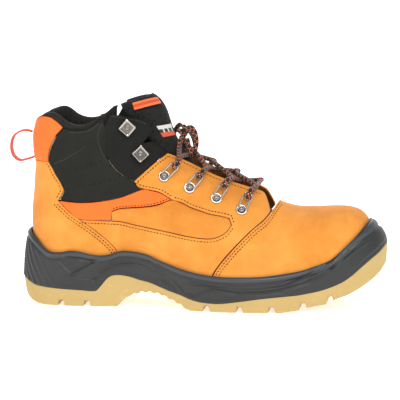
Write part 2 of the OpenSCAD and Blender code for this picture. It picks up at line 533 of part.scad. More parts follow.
// Toe
backing_edge = 232;
strip_edge = 235.5;
cap_edge = 236;
function cross_edge(x) = [[x, lookup(x, floor_line) + 1.2], [x, 50], [x, 65], [x, 75], [x, 79.5], [x, 95]];
module vamp() {
    color("#e4983c") toe_cover(vamp_edge, 9, panel_in, panel_out);
}
module toe_cap() {
    color("lightsteelblue") toe_cover(cross_edge(cap_edge), 9, cap_in, core_out, 0.03);
}
module toe_cap_edge_strip() {
    color("#202020") edge_strip(backing_edge, strip_edge, cap_in + 0.2, core_out);
}
module vamp_backing() {
    color("gray") crossing(vamp_edge, cross_edge(backing_edge), 9, cap_in + 0.2, core_out - 0.3);
}
module vamp_lining() {
    color("#3a3a3a") toe_cover([[205, 17.9], [205, 50], [206, 65], [209, 75], [211.5, 82], [213, 85.5]], 9,
        vamp_lining_in, vamp_lining_out, 0, 11);
}
// A band over the ridge between two edges that run up to the ridge
module crossing(rear, front, rows, d_in, d_out) {
    a = placed(rear);
    b = placed(front);
    function ts(e, v) = let(k = [for (i = [0 : len(e) - 2]) if (v <= e[i + 1][1] || i == len(e) - 2) i][0])
        e[k][0] + (e[k + 1][0] - e[k][0]) * max(0, min(1, (v - e[k][1]) / max(e[k + 1][1] - e[k][1], 1e-6)));
    vs = [for (j = [0 : 2 * rows]) let(s = j <= rows ? j / rows : (2 * rows - j) / rows)
        [sin(45 * s) / sin(45), j <= rows]];
    function spot(v, f, d) = let(t0 = ts(a, v[0]) + cover_lap, t1 = ts(b, v[0]) - cover_lap)
        skin(t0 + (t1 - t0) * f, v[0], d, v[1] ? lateral : medial);
    cols = 5;
    outer = [for (v = vs) [for (i = [0 : cols]) spot(v, 1 - i / cols, d_out)]];
    inner = [for (v = vs) [for (i = [0 : cols]) spot(v, 1 - i / cols, d_in)]];
    shell(outer, inner, lateral);
}
strip_rows = 7;
strip_low = 0.05;
module edge_strip(x0, x1, d_in, d_out) {
    vs = [for (j = [0 : 2 * strip_rows]) let(s = 1 - abs(j - strip_rows) / strip_rows)
        [strip_low + (1 - strip_low) * sin(45 * s) / sin(45), j <= strip_rows]];
    function spot(v, x, d) = skin(x, v[0], d, v[1] ? lateral : medial);
    outer = [for (v = vs) [spot(v, x1, d_out), spot(v, x0, d_out)]];
    inner = [for (v = vs) [spot(v, x1, d_in), spot(v, x0, d_in)]];
    shell(outer, inner, lateral);
}

// Quarters
counter_low_sub = [[88, 30.2], [83.2, 46.4], [77.2, 53.6], [69.2, 60.4], [61.2, 66.3], [53, 71.6]];
vamp_edge_part = [[163, 19.5], [166, 31.7], [179.4, 49.4], [195.2, 65.7], [205, 74.2], [209.6, 80],
    [205.5, 90], [202, 95]];
quarter_foot = [[100, 28.6], [120, 24.9], [140, 22], [163, 19.5]];
quarter_outer_edge = joined(joined(joined(joined([[53, 71.6]], reversed(counter_low_sub)), quarter_foot),
    vamp_edge_part), joined(reversed(throat_line), facing_back_edge));
quarter_inner_edge = joined([for (p = window_low_edge) if (p[0] > 54) p],
    joined(reversed(window_top_edge), reversed(facing_low_edge)));
module quarter(side) {
    color("#e4983c")
        panel(quarter_outer_edge, concat([[54.5, 72.1]], quarter_inner_edge), 4, panel_in, thin_out, side);
}
insert_low_edge = concat([[79.2, 77]], [for (p = window_low_edge) if (p[0] > 79) p]);
insert_high_edge = joined(concat([[79.2, 78.4]], insert_top_edge), window_top_edge);
module quarter_insert(side) {
    color("#e0953a") panel(insert_low_edge, insert_high_edge, 3, panel_in, insert_out, side);
}
orange_low_edge = concat([[35.2, 86.4], [38.2, 83.4], [44, 77.9], [52.1, 72.3], [78.6, 72], [78.2, 79.4]],
    [for (p = insert_top_edge) [p[0], p[1] + seam_gap]]);
orange_high_edge = joined(ankle_low_edge, [for (p = facing_low_edge) if (p[0] > 106) p]);
module orange_panel(side) {
    high = concat([[35.2, 87.4]], [for (p = orange_high_edge) if (p[0] > 35) p]);
    color("#ff7d32") panel(orange_low_edge, high, 3, panel_in, thin_out, side);
}
edge_shift = 0.9;
ankle_corners = [[36.6, 87.5], [103, 98.6], [72.2, 157.2], [39.4, 148.1]];
ankle_low_run = concat([ankle_corners[0]], [for (p = ankle_low_edge) if (p[0] > 37 && p[0] < 100) p],
    [ankle_corners[1]]);
ankle_rear_run = concat([ankle_corners[0]],
    [for (p = counter_top_edge) if (p[1] > 90 && p[1] < 119) [p[0] + edge_shift, p[1]]],
    [for (p = heel_tab_edge) if (p[1] < 148) [p[0] + edge_shift, p[1]]], [ankle_corners[3]]);
ankle_high_run = concat([ankle_corners[3]],
    [for (p = collar_seam) if (p[0] > 40 && p[0] < 71) p], [ankle_corners[2]]);
hook_back_up = [for (i = [len(hook_back_edge) - 1 : -1 : 0]) hook_back_edge[i]];
ankle_front_run = concat([ankle_corners[1], [100.6, 101.9]],
    [for (p = hook_back_up) if (p[1] < 154) [p[0] - edge_shift, p[1]]], [ankle_corners[2]]);
module ankle_panel(side) {
    color("#262624") patch(ankle_low_run, ankle_high_run, ankle_rear_run, ankle_front_run, panel_in,
        thin_out, side);
}
hook_back_run = concat([[77.2, 157.6]], [for (p = hook_back_edge) if (p[1] < 155) p]);
hook_front_run = concat(hook_front_edge, [for (p = facing_back_edge) if (p[0] < 120) p]);
module hook_panel(side) {
    color("#2a2a28") panel(hook_back_run, hook_front_run, 3, panel_in, thin_out, side);
}

// Heel
counter_run = joined(counter_low_edge, counter_top_edge);
module heel_counter_cover() {
    color("#e4983c") panel(turned(counter_run), counter_run, 20, panel_in, thin_out, medial, 14);
}
module heel_tab() {
    n = 16;
    rows = 5;
    function side_t(f) = along(heel_tab_edge, shares(heel_tab_edge), f)[0];
    function side_z(f) = along(heel_tab_edge, shares(heel_tab_edge), f)[1];
    function spot(i, j, d) =
        let(f = (j + (j == 0 ? 0.03 : j == rows ? -0.03 : 0)) / rows, e = side_t(f) - seam_gap,
        t = e + (2 * back_t - 2 * e) * i / n, s = max(t, 2 * back_t - t),
        top = lookup(s, heel_tab_top), z = side_z(f), z_top = lookup(e, heel_tab_top),
        lift = (top - z_top) * f * f * f) skin(t, place(s, z + lift), d, medial);
    outer = [for (i = [0 : n]) [for (j = [0 : rows]) spot(i, j, thin_out)]];
    inner = [for (i = [0 : n]) [for (j = [0 : rows]) spot(i, j, panel_in)]];
    color("#ff7d32") shell(outer, inner, medial);
}
module heel_stiffener() {
    top = [[-8, stiffener_top], [300, stiffener_top]];
    color("wheat") heel_wrap(stiffener_end, 0, top, 4, foam_in, core_out);
}
module ankle_foam() {
    top = [for (p = lining_top) [p[0], p[1] - foam_drop]];
    color("khaki") heel_wrap(foam_end, foam_low, top, 4, foam_in, core_out);
}
module quarter_lining() {
    color("#3a3a3a") heel_wrap(quarter_end, 0, lining_top, 6, quarter_lining_in, quarter_lining_out, 9.5);
}

// The padded collar: its section runs round the rim, as depth and drop below the rim or the seam
module collar() {
    n = 24;
    ts = [for (i = [0 : n]) collar_end + (2 * back_t - 2 * collar_end) * i / n];
    function seam(s) = lookup(s, concat([for (p = heel_tab_top) [p[0], p[1]]], collar_seam));
    function spot(t, k) =
        let(s = max(t, 2 * back_t - t), r = lookup(s, rim_top), z = min(seam(s) + collar_lift, r - 2),
            q = [[-0.1, r - collar_depth], [-0.1, z], [panel_out + 0.2, z], [panel_out + 0.8, (r + z) / 2],
            [panel_out - 0.4, r - 0.8], [-0.4, r], [-2.6, r - 0.3], [-4.8, r - 1.6], [-6.2, r - 4],
            [-6.4, r - 8], [-6, r - 11], [-4.6, r - collar_depth]][k])
        level_skin(t, q[1], q[0], medial);
    color("#222222") shell([for (t = ts) [for (k = [0 : 5]) spot(t, k)]],
        [for (t = ts) [for (k = [11 : -1 : 6]) spot(t, k)]], medial);
}

// The tongue in rows from the throat up: centre station, height, half width, wrap back and drop of its edges
tongue_rows = [[210.5, 79.6, 14, 0, 3], [205, 83, 17, 0, 4], [190, 89, 20, 0, 5.5], [172, 95.5, 22, 1, 6.5],
    [156, 105, 23, 4, 7], [145, 115.5, 23, 9, 6], [137, 126.5, 22.5, 15, 4], [130.5, 138, 22, 21, 2],
    [126, 150, 22, 27, 3], [122.5, 161, 22.5, 31, 6], [117.5, 170, 23, 31, 8], [109, 177.5, 21, 26, 9]];
tongue_turn = 80;
function tongue_point(s, u) = let(k = min(floor(s), len(tongue_rows) - 2),
    q = tongue_rows[k] + (tongue_rows[k + 1] - tongue_rows[k]) * (s - k), a = u * tongue_turn)
    bent(sized([q[0] - q[3] * (1 - cos(a)) / (1 - cos(tongue_turn)), q[2] * sin(a) / sin(tongue_turn),
        q[1] - q[4] * u * u]));
function tongue_normal(s, u) = unit(cross(tongue_point(s, u + 0.05) - tongue_point(s, u - 0.05),
    tongue_point(min(s + 0.3, 10.99), u) - tongue_point(max(s - 0.3, 0), u)));
function on_tongue(s, u, d) = tongue_point(s, u) + tongue_normal(s, u) * d;
module tongue_layer(s0, s1, w, d_in, d_out) {
    cols = 10;
    outer = [for (i = [0 : cols]) [for (s = [s0 : s1]) on_tongue(s, (2 * i / cols - 1) * w, d_out)]];
    inner = [for (i = [0 : cols]) [for (s = [s0 : s1]) on_tongue(s, (2 * i / cols - 1) * w, d_in)]];
    shell(outer, inner, lateral);
}
module tongue() {
    color("#1e1e1e") tongue_layer(0, 11, 1, -tongue_t, 0);
}
module tongue_lining() {
    color("#333333") tongue_layer(0, 11, 0.97, -tongue_t - 0.5 - lining_t, -tongue_t - 0.5);
}
module tongue_patch(s0, s1, u0, u1, d_in, d_out, cols, rows) {
    outer = [for (i = [0 : cols]) [for (j = [0 : rows])
        on_tongue(s0 + (s1 - s0) * j / rows, u0 + (u1 - u0) * i / cols, d_out)]];
    inner = [for (i = [0 : cols]) [for (j = [0 : rows])
        on_tongue(s0 + (s1 - s0) * j / rows, u0 + (u1 - u0) * i / cols, d_in)]];
    shell(outer, inner, lateral);
}
module tongue_label() {
    color("white") tongue_patch(7.25, 8.05, -0.62, -0.2, 0.4, 1.2, 3, 2);
}
module tongue_loop() {
    color("#f06030") tongue_patch(9.75, 10.4, -0.78, -0.28, 0.4, 0.4 + webbing_t, 4, 2);
}

// The pull loop stands out from the heel in a ring of webbing, narrow where it is sewn
loop_line = [[7.9, 141.4], [3, 142.6], [-3, 141.4], [-8.2, 137], [-10, 129], [-8.4, 121.6], [-3.4, 117.4],
    [3, 118.2], [9.4, 120.4]];
root_w = 3;
module pull_loop() {
    n = 16;
    k = len(loop_line) - 1;
    s = shares(loop_line);
    rows = [for (p = loop_line) [p[0], 0, p[1]]];
    function mid(f) = let(q = smooth_row([for (i = [0 : k]) [s[i], loop_line[i][0], loop_line[i][1]]], f))
        [q[1], q[2]];
    function side_of(f) = let(t = unit(mid(min(f + 0.01, 1)) - mid(max(f - 0.01, 0)))) [t[1], -t[0]];
    function width(f) = root_w + (loop_w - root_w) * sin(180 * f);
    function spot(f, a, b) = let(q = mid(f) + side_of(f) * a * webbing_t / 2)
        [(q[0] - heel_centre) * scale_x - loop_gap, b * width(f) / 2, q[1] * scale_z];
    outer = [for (b = [-1, 0, 1]) [for (i = [0 : n]) spot(i / n, 1, b)]];
    inner = [for (b = [-1, 0, 1]) [for (i = [0 : n]) spot(i / n, -1, b)]];
    color("#e14b28") shell(outer, inner, lateral);
}

// Hardware sits on the skin: local X runs along the first to the second place, local Z outwards
module on_skin(from, to, d, side) {
    p = skin(from[0], place(from[0], from[1]), d, side);
    q = skin(to[0], place(to[0], to[1]), d, side);
    h = half_normal(from[0], place(from[0], from[1]));
    z = [h.x, side * h.y, h.z];
    x = unit((q - p) - z * ((q - p) * z));
    y = cross(z, x);
    multmatrix([[x.x, y.x, z.x, p.x], [x.y, y.y, z.y, p.y], [x.z, y.z, z.z, p.z], [0, 0, 0, 1]]) children();
}
ring_places = [[122.4, 109], [143.8, 99.6], [165.8, 91], [186.8, 81.8]];
ring_ends = [[131.6, 117.5], [152, 108.6], [172.8, 100.9], [192.6, 92.3]];
ring_lift = 22;
base_h = 1.2;
arm_z = 0.6;
arm_start = 1;
seat = 0.25;
pin_d = 2.4;
module d_rings(side) {
    for (i = [0 : len(ring_places) - 1])
        on_skin(ring_places[i], ring_ends[i], thin_out + seat, side) color("silver") difference() {
            union() {
                cylinder(d = ring_base_d, h = base_h);
                translate([0, 0, arm_z]) rotate([0, -ring_lift, 0]) {
                    for (s = [-1, 1]) translate([arm_start, s * ring_w / 2, 0]) rotate([0, 90, 0])
                        cylinder(d = ring_wire_d, h = ring_l - arm_start);
                    translate([ring_l, 0, 0]) rotate([0, 0, -90]) rotate_extrude(angle = 180)
                        translate([ring_w / 2, 0]) circle(d = ring_wire_d);
                }
            }
            translate([0, 0, -1]) cylinder(d = pin_d + 0.1, h = 5);
            translate([0, 0, base_h]) cylinder(d = rivet_d + 0.3, h = 5);
        }
}
module rivet(head_d, hole_h) {
    rotate_extrude() polygon([[0, 0.05], [pin_d / 2, 0.05], [pin_d / 2, hole_h + 0.1],
        [head_d / 2, hole_h + 0.1], [head_d / 2, hole_h + 0.6], [head_d / 2 - 0.5, hole_h + 1.1],
        [0, hole_h + 1.2]]);
}
module d_ring_rivets(side) {
    for (i = [0 : len(ring_places) - 1]) on_skin(ring_places[i], ring_ends[i], thin_out + seat, side)
        color("gainsboro") rivet(rivet_d, base_h);
}
hook_places = [[92.1, 149.4], [102.8, 127.8]];
hook_ends = [[99, 143], [109, 121]];
hook_h = 4.6;
hook_wall = 1.8;
module lace_hooks(side) {
    for (i = [0, 1]) on_skin(hook_places[i], hook_ends[i], thin_out + seat + 0.2, side) color("silver")
        difference() {
            translate([-hook_w / 2, -hook_w / 2, 0]) cube([hook_w, hook_w, hook_h]);
            translate([-hook_w / 2 + hook_wall, -hook_w / 2 + hook_wall, base_h])
                cube([hook_w - 2 * hook_wall, hook_w - 2 * hook_wall, hook_h]);
            translate([0, -hook_w / 2 + hook_wall, base_h + 1])
                cube([hook_w, hook_w - 2 * hook_wall, hook_h - 2.2]);
            translate([0, 0, -1]) cylinder(d = pin_d + 0.1, h = 5);
        }
}
module hook_rivets(side) {
    for (i = [0, 1]) on_skin(hook_places[i], hook_ends[i], thin_out + seat + 0.2, side) color("gainsboro")
        rivet(rivet_d, base_h);
}

// The lace
function frame_at(from, to, d, side) = let(p = skin(from[0], place(from[0], from[1]), d, side),
    q = skin(to[0], place(to[0], to[1]), d, side), h = half_normal(from[0], place(from[0], from[1])),
    z = [h.x, side * h.y, h.z], x = unit((q - p) - z * ((q - p) * z))) [p, x, z];
// The places round the end of a D-ring where the lace turns, from above it to below it
wrap_r = ring_wire_d / 2 + lace_d / 2 + 0.5;
turn_angles = [15, 65, 115, 165, 215, 262];
function turn(i, side, over) = let(f = frame_at(ring_places[i], ring_ends[i], thin_out + seat, side),
    c = cos(ring_lift), s = sin(ring_lift), x = f[1] * c + f[2] * s, z = f[2] * c - f[1] * s,
    tip = f[0] + f[2] * arm_z + x * (ring_l + ring_w / 2))
    [for (a = over ? turn_angles : reversed(turn_angles)) tip + (x * cos(a) + z * sin(a)) * wrap_r];
cross_line = [[143, 121.5], [162, 110.2], [182, 100.8], [197, 98]];
function over_tongue(x, y, lift) = bent(sized([x, y, lookup(x, cross_line)]) + [0, 0, lift]);
low_lift = lace_d / 2;
high_lift = low_lift + lace_d + 0.5;
function spline(p, n) = let(k = len(p) - 1) [for (i = [0 : k - 1]) each
    let(m0 = i == 0 ? p[1] - p[0] : (p[i + 1] - p[i - 1]) / 2,
        m1 = i == k - 1 ? p[k] - p[k - 1] : (p[i + 2] - p[i]) / 2)
    [for (j = [0 : n - 1]) let(f = j / n) p[i] * (1 + 2 * f) * (1 - f) * (1 - f) + m0 * f * (1 - f) * (1 - f)
        + p[i + 1] * f * f * (3 - 2 * f) - m1 * f * f * (1 - f)], p[k]];
module tube(route, d, sides) {
    n = len(route) - 1;
    function along_at(i) = unit(route[min(i + 1, n)] - route[max(i - 1, 0)]);
    function carried(i, last) = i > n ? [] : let(t = along_at(i), s = unit(last - t * (last * t)))
        concat([[s, cross(t, s)]], carried(i + 1, s));
    first = abs(along_at(0).z) < 0.8 ? [0, 0, 1] : [0, 1, 0];
    frames = carried(0, first);
    points = [for (i = [0 : n]) for (k = [0 : sides - 1])
        route[i] + (frames[i][0] * cos(360 * k / sides) + frames[i][1] * sin(360 * k / sides)) * d / 2];
    faces = concat([[for (k = [0 : sides - 1]) k]], [[for (k = [sides - 1 : -1 : 0]) n * sides + k]],
        [for (i = [0 : n - 1]) for (k = [0 : sides - 1]) let(m = (k + 1) % sides)
            each [[i * sides + k, i * sides + sides + k, i * sides + sides + m],
                [i * sides + k, i * sides + sides + m, i * sides + m]]]);
    polyhedron(points, faces, convexity = 8);
}
knot_place = [134.5, 0, 144];
function sewn(p) = bent(sized(p));
// The lace lifts over the edge of the facing on its way to the middle
function over_edge(i, side, lift) = let(t = ring_ends[i][0] + 2.5)
    skin(t, place(t, lookup(t, throat_line) - 1), thin_out + lace_d / 2 + lift, side);
function middle(x, y, lift) = [over_tongue(x, y, lift)];
function near_edge(i, side) = [over_edge(i, side, edge_low)];
function far_edge(i, side) = [over_edge(i, side, edge_high)];
edge_low = 1.6;
edge_high = 3;
knot_drop = [-0.5, 5.2, -3.7];
lace_route = concat(
    [sewn(knot_place) + knot_drop, sewn([133, 13, 132])], turn(0, medial, true), near_edge(0, medial),
    middle(143, 0, high_lift), far_edge(1, lateral), turn(1, lateral, true), near_edge(1, lateral),
    middle(162, 0, low_lift), far_edge(2, medial), turn(2, medial, true), near_edge(2, medial),
    middle(182, 0, high_lift), far_edge(3, lateral), turn(3, lateral, true), near_edge(3, lateral),
    middle(197, -7, low_lift), middle(197, 7, low_lift), near_edge(3, medial), turn(3, medial, false),
    far_edge(3, medial), middle(182, 0, low_lift), near_edge(2, lateral), turn(2, lateral, false),
    far_edge(2, lateral), middle(162, 0, high_lift), near_edge(1, medial), turn(1, medial, false),
    far_edge(1, medial), middle(143, 0, low_lift), near_edge(0, lateral), turn(0, lateral, false),
    [sewn([133, -13, 132]), sewn(knot_place) + [knot_drop.x, -knot_drop.y, knot_drop.z]]);
module shoelace() {
    color("#151515") tube(lace_route, lace_d, 8);
}
module lace_knot() {
    color("#151515") translate(sewn(knot_place)) rotate([0, 60, 0]) rotate_extrude()
        polygon([[0, -4.5], [3, -4.5], [4.6, -2.6], [4.6, 2.6], [3, 4.5], [0, 4.5]]);
}
// The bow and the tails are drawn for the knot where it lies, and their far ends follow the size of the boot
function from_knot(route) = [for (p = route) sized(p) + sewn(knot_place) - sized([79.5, 0, 144])];
bow_route = [[81.4, -6.2, 145.6], [87, -9, 148], [91, -12, 144], [92.5, -14, 136], [91, -15, 129.5],
    [87.5, -14, 129], [85.5, -11.5, 133.5], [83.8, -7.5, 138.6]];
module lace_bow() {
    color("#151515") tube(spline(from_knot(bow_route), 2), lace_d, 8);
}
tail_front_route = [[80, 5.2, 144.8], [82, 12, 143.5], [84, 20, 139], [85, 29, 132.5], [85, 36, 124.5],
    [82, 38, 114], [80, 39.5, 104], [78.5, 40, 94], [77, 41, 82], [76, 41.5, 66]];
tail_rear_route = [[76.9, 5.2, 147.7], [74, 12, 147], [70, 19, 142], [66.5, 26.8, 134.8], [63.5, 32, 125],
    [62, 35.5, 115], [61, 37.5, 105], [60, 38.5, 94], [59.5, 39.5, 82], [59, 39.5, 70]];
module lace_tail_front() {
    color("#151515") tube(from_knot(tail_front_route), lace_d, 8);
}
module lace_tail_rear() {
    color("#151515") tube(from_knot(tail_rear_route), lace_d, 8);
}
module aglet(route) {
    n = len(route) - 1;
    t = unit(route[n] - route[n - 1]);
    x = unit(cross(t, [1, 0, 0]));
    y = cross(t, x);
    p = route[n] + t * 0.1;
    multmatrix([[x.x, y.x, t.x, p.x], [x.y, y.y, t.y, p.y], [x.z, y.z, t.z, p.z], [0, 0, 0, 1]])
        cylinder(d = lace_d - 0.8, h = aglet_l);
}
module aglet_front() {
    color("black") aglet(from_knot(tail_front_route));
}
module aglet_rear() {
    color("black") aglet(from_knot(tail_rear_route));
}

outsole();
midsole();
shank();
insole_board();
footbed();
vamp();
vamp_backing();
toe_cap();
toe_cap_edge_strip();
vamp_lining();
quarter(lateral);  // quarter_lateral
quarter(medial);  // quarter_medial
quarter_insert(lateral);  // quarter_insert_lateral
quarter_insert(medial);  // quarter_insert_medial
orange_panel(lateral);  // orange_panel_lateral
orange_panel(medial);  // orange_panel_medial
ankle_panel(lateral);  // ankle_panel_lateral
ankle_panel(medial);  // ankle_panel_medial
hook_panel(lateral);  // hook_panel_lateral
hook_panel(medial);  // hook_panel_medial
heel_counter_cover();
heel_tab();
heel_stiffener();
ankle_foam();
quarter_lining();
collar();
tongue();
tongue_lining();
tongue_loop();
tongue_label();
pull_loop();
d_rings(lateral);  // d_rings_lateral
d_rings(medial);  // d_rings_medial
d_ring_rivets(lateral);  // d_ring_rivets_lateral
d_ring_rivets(medial);  // d_ring_rivets_medial
lace_hooks(lateral);  // lace_hooks_lateral
lace_hooks(medial);  // lace_hooks_medial
hook_rivets(lateral);  // hook_rivets_lateral
hook_rivets(medial);  // hook_rivets_medial
shoelace();
lace_knot();
lace_bow();
lace_tail_front();
lace_tail_rear();
aglet_front();
aglet_rear();
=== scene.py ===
# Steel toe work boot: looks. Metres, the same frame as the frame's own parts.
import math

import bmesh
import bpy
import numpy as np
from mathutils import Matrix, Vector


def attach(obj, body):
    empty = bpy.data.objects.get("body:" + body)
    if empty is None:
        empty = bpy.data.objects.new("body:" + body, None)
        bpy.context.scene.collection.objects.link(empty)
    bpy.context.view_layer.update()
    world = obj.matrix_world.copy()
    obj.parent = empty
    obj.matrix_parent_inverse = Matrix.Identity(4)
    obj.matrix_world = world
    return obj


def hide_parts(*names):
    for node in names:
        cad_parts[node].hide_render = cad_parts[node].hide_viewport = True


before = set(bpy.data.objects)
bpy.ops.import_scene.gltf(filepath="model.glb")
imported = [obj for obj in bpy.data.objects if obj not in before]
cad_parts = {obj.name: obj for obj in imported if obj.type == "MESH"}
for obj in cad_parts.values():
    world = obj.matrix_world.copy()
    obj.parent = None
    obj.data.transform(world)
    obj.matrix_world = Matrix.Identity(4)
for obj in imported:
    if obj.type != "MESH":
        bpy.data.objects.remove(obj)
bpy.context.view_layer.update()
scene = bpy.context.scene
lateral, medial = -1, 1
mm = 0.001


# ---- camera, floor and lights ----
view = {"target": (0.0936, 0, 0.0860), "turn": 7.5, "rise": 8.0, "distance": 2.4, "width": 0.3338}
studio = {"floorZ": -0.0004, "floorTone": (0.93, 0.93, 0.93, 1), "floorGlow": 0.62,
          "key": 30, "fill": 9, "back": 12, "sky": 0.36}


def aimed(place, target):
    return (Vector(target) - Vector(place)).to_track_quat("-Z", "Y").to_euler()


def makeCamera():
    turn, rise = math.radians(view["turn"]), math.radians(view["rise"])
    back = Vector((math.sin(turn) * math.cos(rise), -math.cos(turn) * math.cos(rise), math.sin(rise)))
    data = bpy.data.cameras.new("bootCamera")
    data.lens = data.sensor_width * view["distance"] / view["width"]
    data.clip_end = 50
    camera = bpy.data.objects.new("bootCamera", data)
    camera.location = Vector(view["target"]) + back * view["distance"]
    camera.rotation_euler = aimed(camera.location, view["target"])
    scene.collection.objects.link(camera)
    scene.camera = camera


def makeLight(name, place, size, watts):
    data = bpy.data.lights.new(name, "AREA")
    data.shape, data.size, data.size_y, data.energy = "RECTANGLE", size[0], size[1], watts
    lamp = bpy.data.objects.new(name, data)
    lamp.location, lamp.rotation_euler = place, aimed(place, (0.09, 0, 0.08))
    scene.collection.objects.link(lamp)


makeCamera()
makeLight("keyLight", (0.75, -1.5, 1.45), (1.5, 1.1), studio["key"])
makeLight("fillLight", (-1.3, -1.3, 0.75), (1.2, 1.4), studio["fill"])
makeLight("backLight", (-0.2, 1.5, 1.3), (1.6, 0.9), studio["back"])
scene.view_settings.view_transform = "Standard"
world = bpy.data.worlds.new("studioSky")
scene.world = world
world.use_nodes = True
world.node_tree.nodes["Background"].inputs["Color"].default_value = (1, 1, 1, 1)
world.node_tree.nodes["Background"].inputs["Strength"].default_value = studio["sky"]
print("camera and lights ready")


# ---- materials: sums on sockets, and the nodes of a finish ----
class Wire:  # a socket that does sums; each one adds a Math node
    def __init__(self, finish, socket):
        self.finish, self.socket = finish, socket

    def math(self, kind, a, b=0.0):
        return self.finish.node("ShaderNodeMath", {"operation": kind}, {0: a, 1: b})

    def __add__(self, other):
        return self.math("ADD", self, other)

    def __mul__(self, other):
        return self.math("MULTIPLY", self, other)

    def __sub__(self, other):
        return self.math("SUBTRACT", self, other)

    def __rsub__(self, other):
        return self.math("SUBTRACT", other, self)

    def __truediv__(self, other):
        return self.math("DIVIDE", self, other)

    def __pow__(self, other):
        return self.math("POWER", self, other)

    __radd__, __rmul__ = __add__, __mul__

    def wave(self):
        return self.math("SINE", self)

    def over(self, limit):
        return self.math("GREATER_THAN", self, limit)

    def size(self):
        return self.math("ABSOLUTE", self)

    def share(self):
        return self.math("FRACT", self)


class Finish:  # one procedural material
    def __init__(self, name, **fixed):
        self.material = bpy.data.materials.new(name)
        self.material.use_nodes = True
        self.tree = self.material.node_tree
        self.shader = self.tree.nodes["Principled BSDF"]
        for socket, value in fixed.items():
            self.shader.inputs[socket.replace("_", " ")].default_value = value
        self.place = self.node("ShaderNodeTexCoord", out="Object")

    def node(self, kind, settings=None, values=None, out=0):
        made = self.tree.nodes.new(kind)
        for key, value in (settings or {}).items():
            if key == "stops":
                for stop, (at, tone) in zip(made.color_ramp.elements, value):
                    stop.position, stop.color = at, (tone, tone, tone, 1)
            else:
                setattr(made, key, value)
        for key, value in (values or {}).items():
            if isinstance(value, Wire):
                self.tree.links.new(value.socket, made.inputs[key])
            else:
                made.inputs[key].default_value = value
        return Wire(self, made.outputs[out])

    def noise(self, scale, detail=3.0, roughness=0.55, place=None):
        return self.node("ShaderNodeTexNoise", None, {"Vector": place or self.place, "Scale": scale, "Detail": detail,
                                                      "Roughness": roughness})

    def cells(self, scale, feature="F1", place=None):
        return self.node("ShaderNodeTexVoronoi", {"feature": feature},
                         {"Vector": place or self.place, "Scale": scale}, "Distance")

    def stretched(self, scale, turn=(0, 0, 0), place=None):
        return self.node("ShaderNodeMapping", None, {"Vector": place or self.place, "Scale": scale, "Rotation": turn})

    def band(self, wire, low, high):  # 0 below low, 1 above high, smooth between
        return self.node("ShaderNodeMapRange", {"interpolation_type": "SMOOTHSTEP", "clamp": True},
                         {"Value": wire, "From Min": low, "From Max": high})

    def blend(self, factor, a, b):
        return self.node("ShaderNodeMix", {"data_type": "RGBA"}, {0: factor, 6: a, 7: b}, 2)

    def attribute(self, name, out="Fac"):
        return self.node("ShaderNodeAttribute", {"attribute_name": name}, None, out)

    def parts(self, vector):
        split = self.node("ShaderNodeSeparateXYZ", None, {0: vector}, "X")
        return split, Wire(self, split.socket.node.outputs["Y"]), Wire(self, split.socket.node.outputs["Z"])

    def finish(self, colour=None, roughness=None, height=None, strength=0.5, depth=0.0005, metallic=None):
        for socket, value in (("Base Color", colour), ("Roughness", roughness), ("Metallic", metallic)):
            if value is not None:
                self.tree.links.new(value.socket, self.shader.inputs[socket])
        if height is not None:
            bump = self.node("ShaderNodeBump", None, {"Strength": strength, "Distance": depth, "Height": height})
            self.tree.links.new(bump.socket, self.shader.inputs["Normal"])
        return self.material


def tone(red, green, blue):  # a colour in everyday 0 to 255 numbers, as the shader wants it
    return tuple((c / 255 / 12.92 if c < 10.3 else ((c / 255 + 0.055) / 1.055) ** 2.4)
                 for c in (red, green, blue)) + (1,)


def nubuck(name, light, dark, sheen=0.25):
    f = Finish(name, Sheen_Weight=sheen, Sheen_Roughness=0.5, Specular_IOR_Level=0.25)
    cloud = f.band(f.noise(28, 4, 0.6), 0.3, 0.7)
    nap = f.noise(900, 3, 0.7)
    rub = f.band(f.noise(75, 5, 0.65), 0.42, 0.72)
    colour = f.blend(cloud * 0.55 + nap * 0.35, tone(*dark), tone(*light))
    colour = f.blend(rub * 0.22, colour, tone(*[min(255, c * 1.12) for c in light]))
    pores = f.band(f.cells(1400), 0.06, 0.3)
    return f.finish(colour, 0.74 + nap * 0.18, nap * 0.6 + pores * 0.3 + f.noise(160, 4) * 0.7, 0.42, 0.0004)


def smoothSkin(name, light, dark, rough, grain, shine=0.4):
    f = Finish(name, Specular_IOR_Level=shine)
    cloud = f.noise(45, 3)
    pebble = f.cells(1150)
    colour = f.blend(cloud, tone(*dark), tone(*light))
    return f.finish(colour, rough + cloud * 0.14, pebble * grain + f.noise(420, 3) * 0.5, 0.35, 0.0003)


def meshCloth(name, light, dark, scale=620, sheen=0.35):
    f = Finish(name, Sheen_Weight=sheen, Sheen_Roughness=0.4, Specular_IOR_Level=0.12)
    holes = f.band(f.cells(scale), 0.1, 0.42)
    fuzz = f.noise(1500, 2, 0.6)
    colour = f.blend(holes * (0.7 + fuzz * 0.4), tone(*dark), tone(*light))
    return f.finish(colour, 0.82 + fuzz * 0.12, holes + fuzz * 0.35, 0.75, 0.0006)


def moulded(name, light, dark, rough, speck=700):
    f = Finish(name, Specular_IOR_Level=0.45)
    cloud = f.noise(36, 4, 0.6)
    fine = f.noise(speck, 3, 0.6)
    scuff = f.band(f.noise(130, 5, 0.7), 0.56, 0.74)
    colour = f.blend(cloud * 0.6 + fine * 0.25, tone(*dark), tone(*light))
    colour = f.blend(scuff * 0.16, colour, tone(*[min(255, c * 1.25 + 8) for c in light]))
    return f.finish(colour, rough + fine * 0.12 + scuff * 0.1, fine * 0.7 + cloud * 0.8, 0.3, 0.0003)


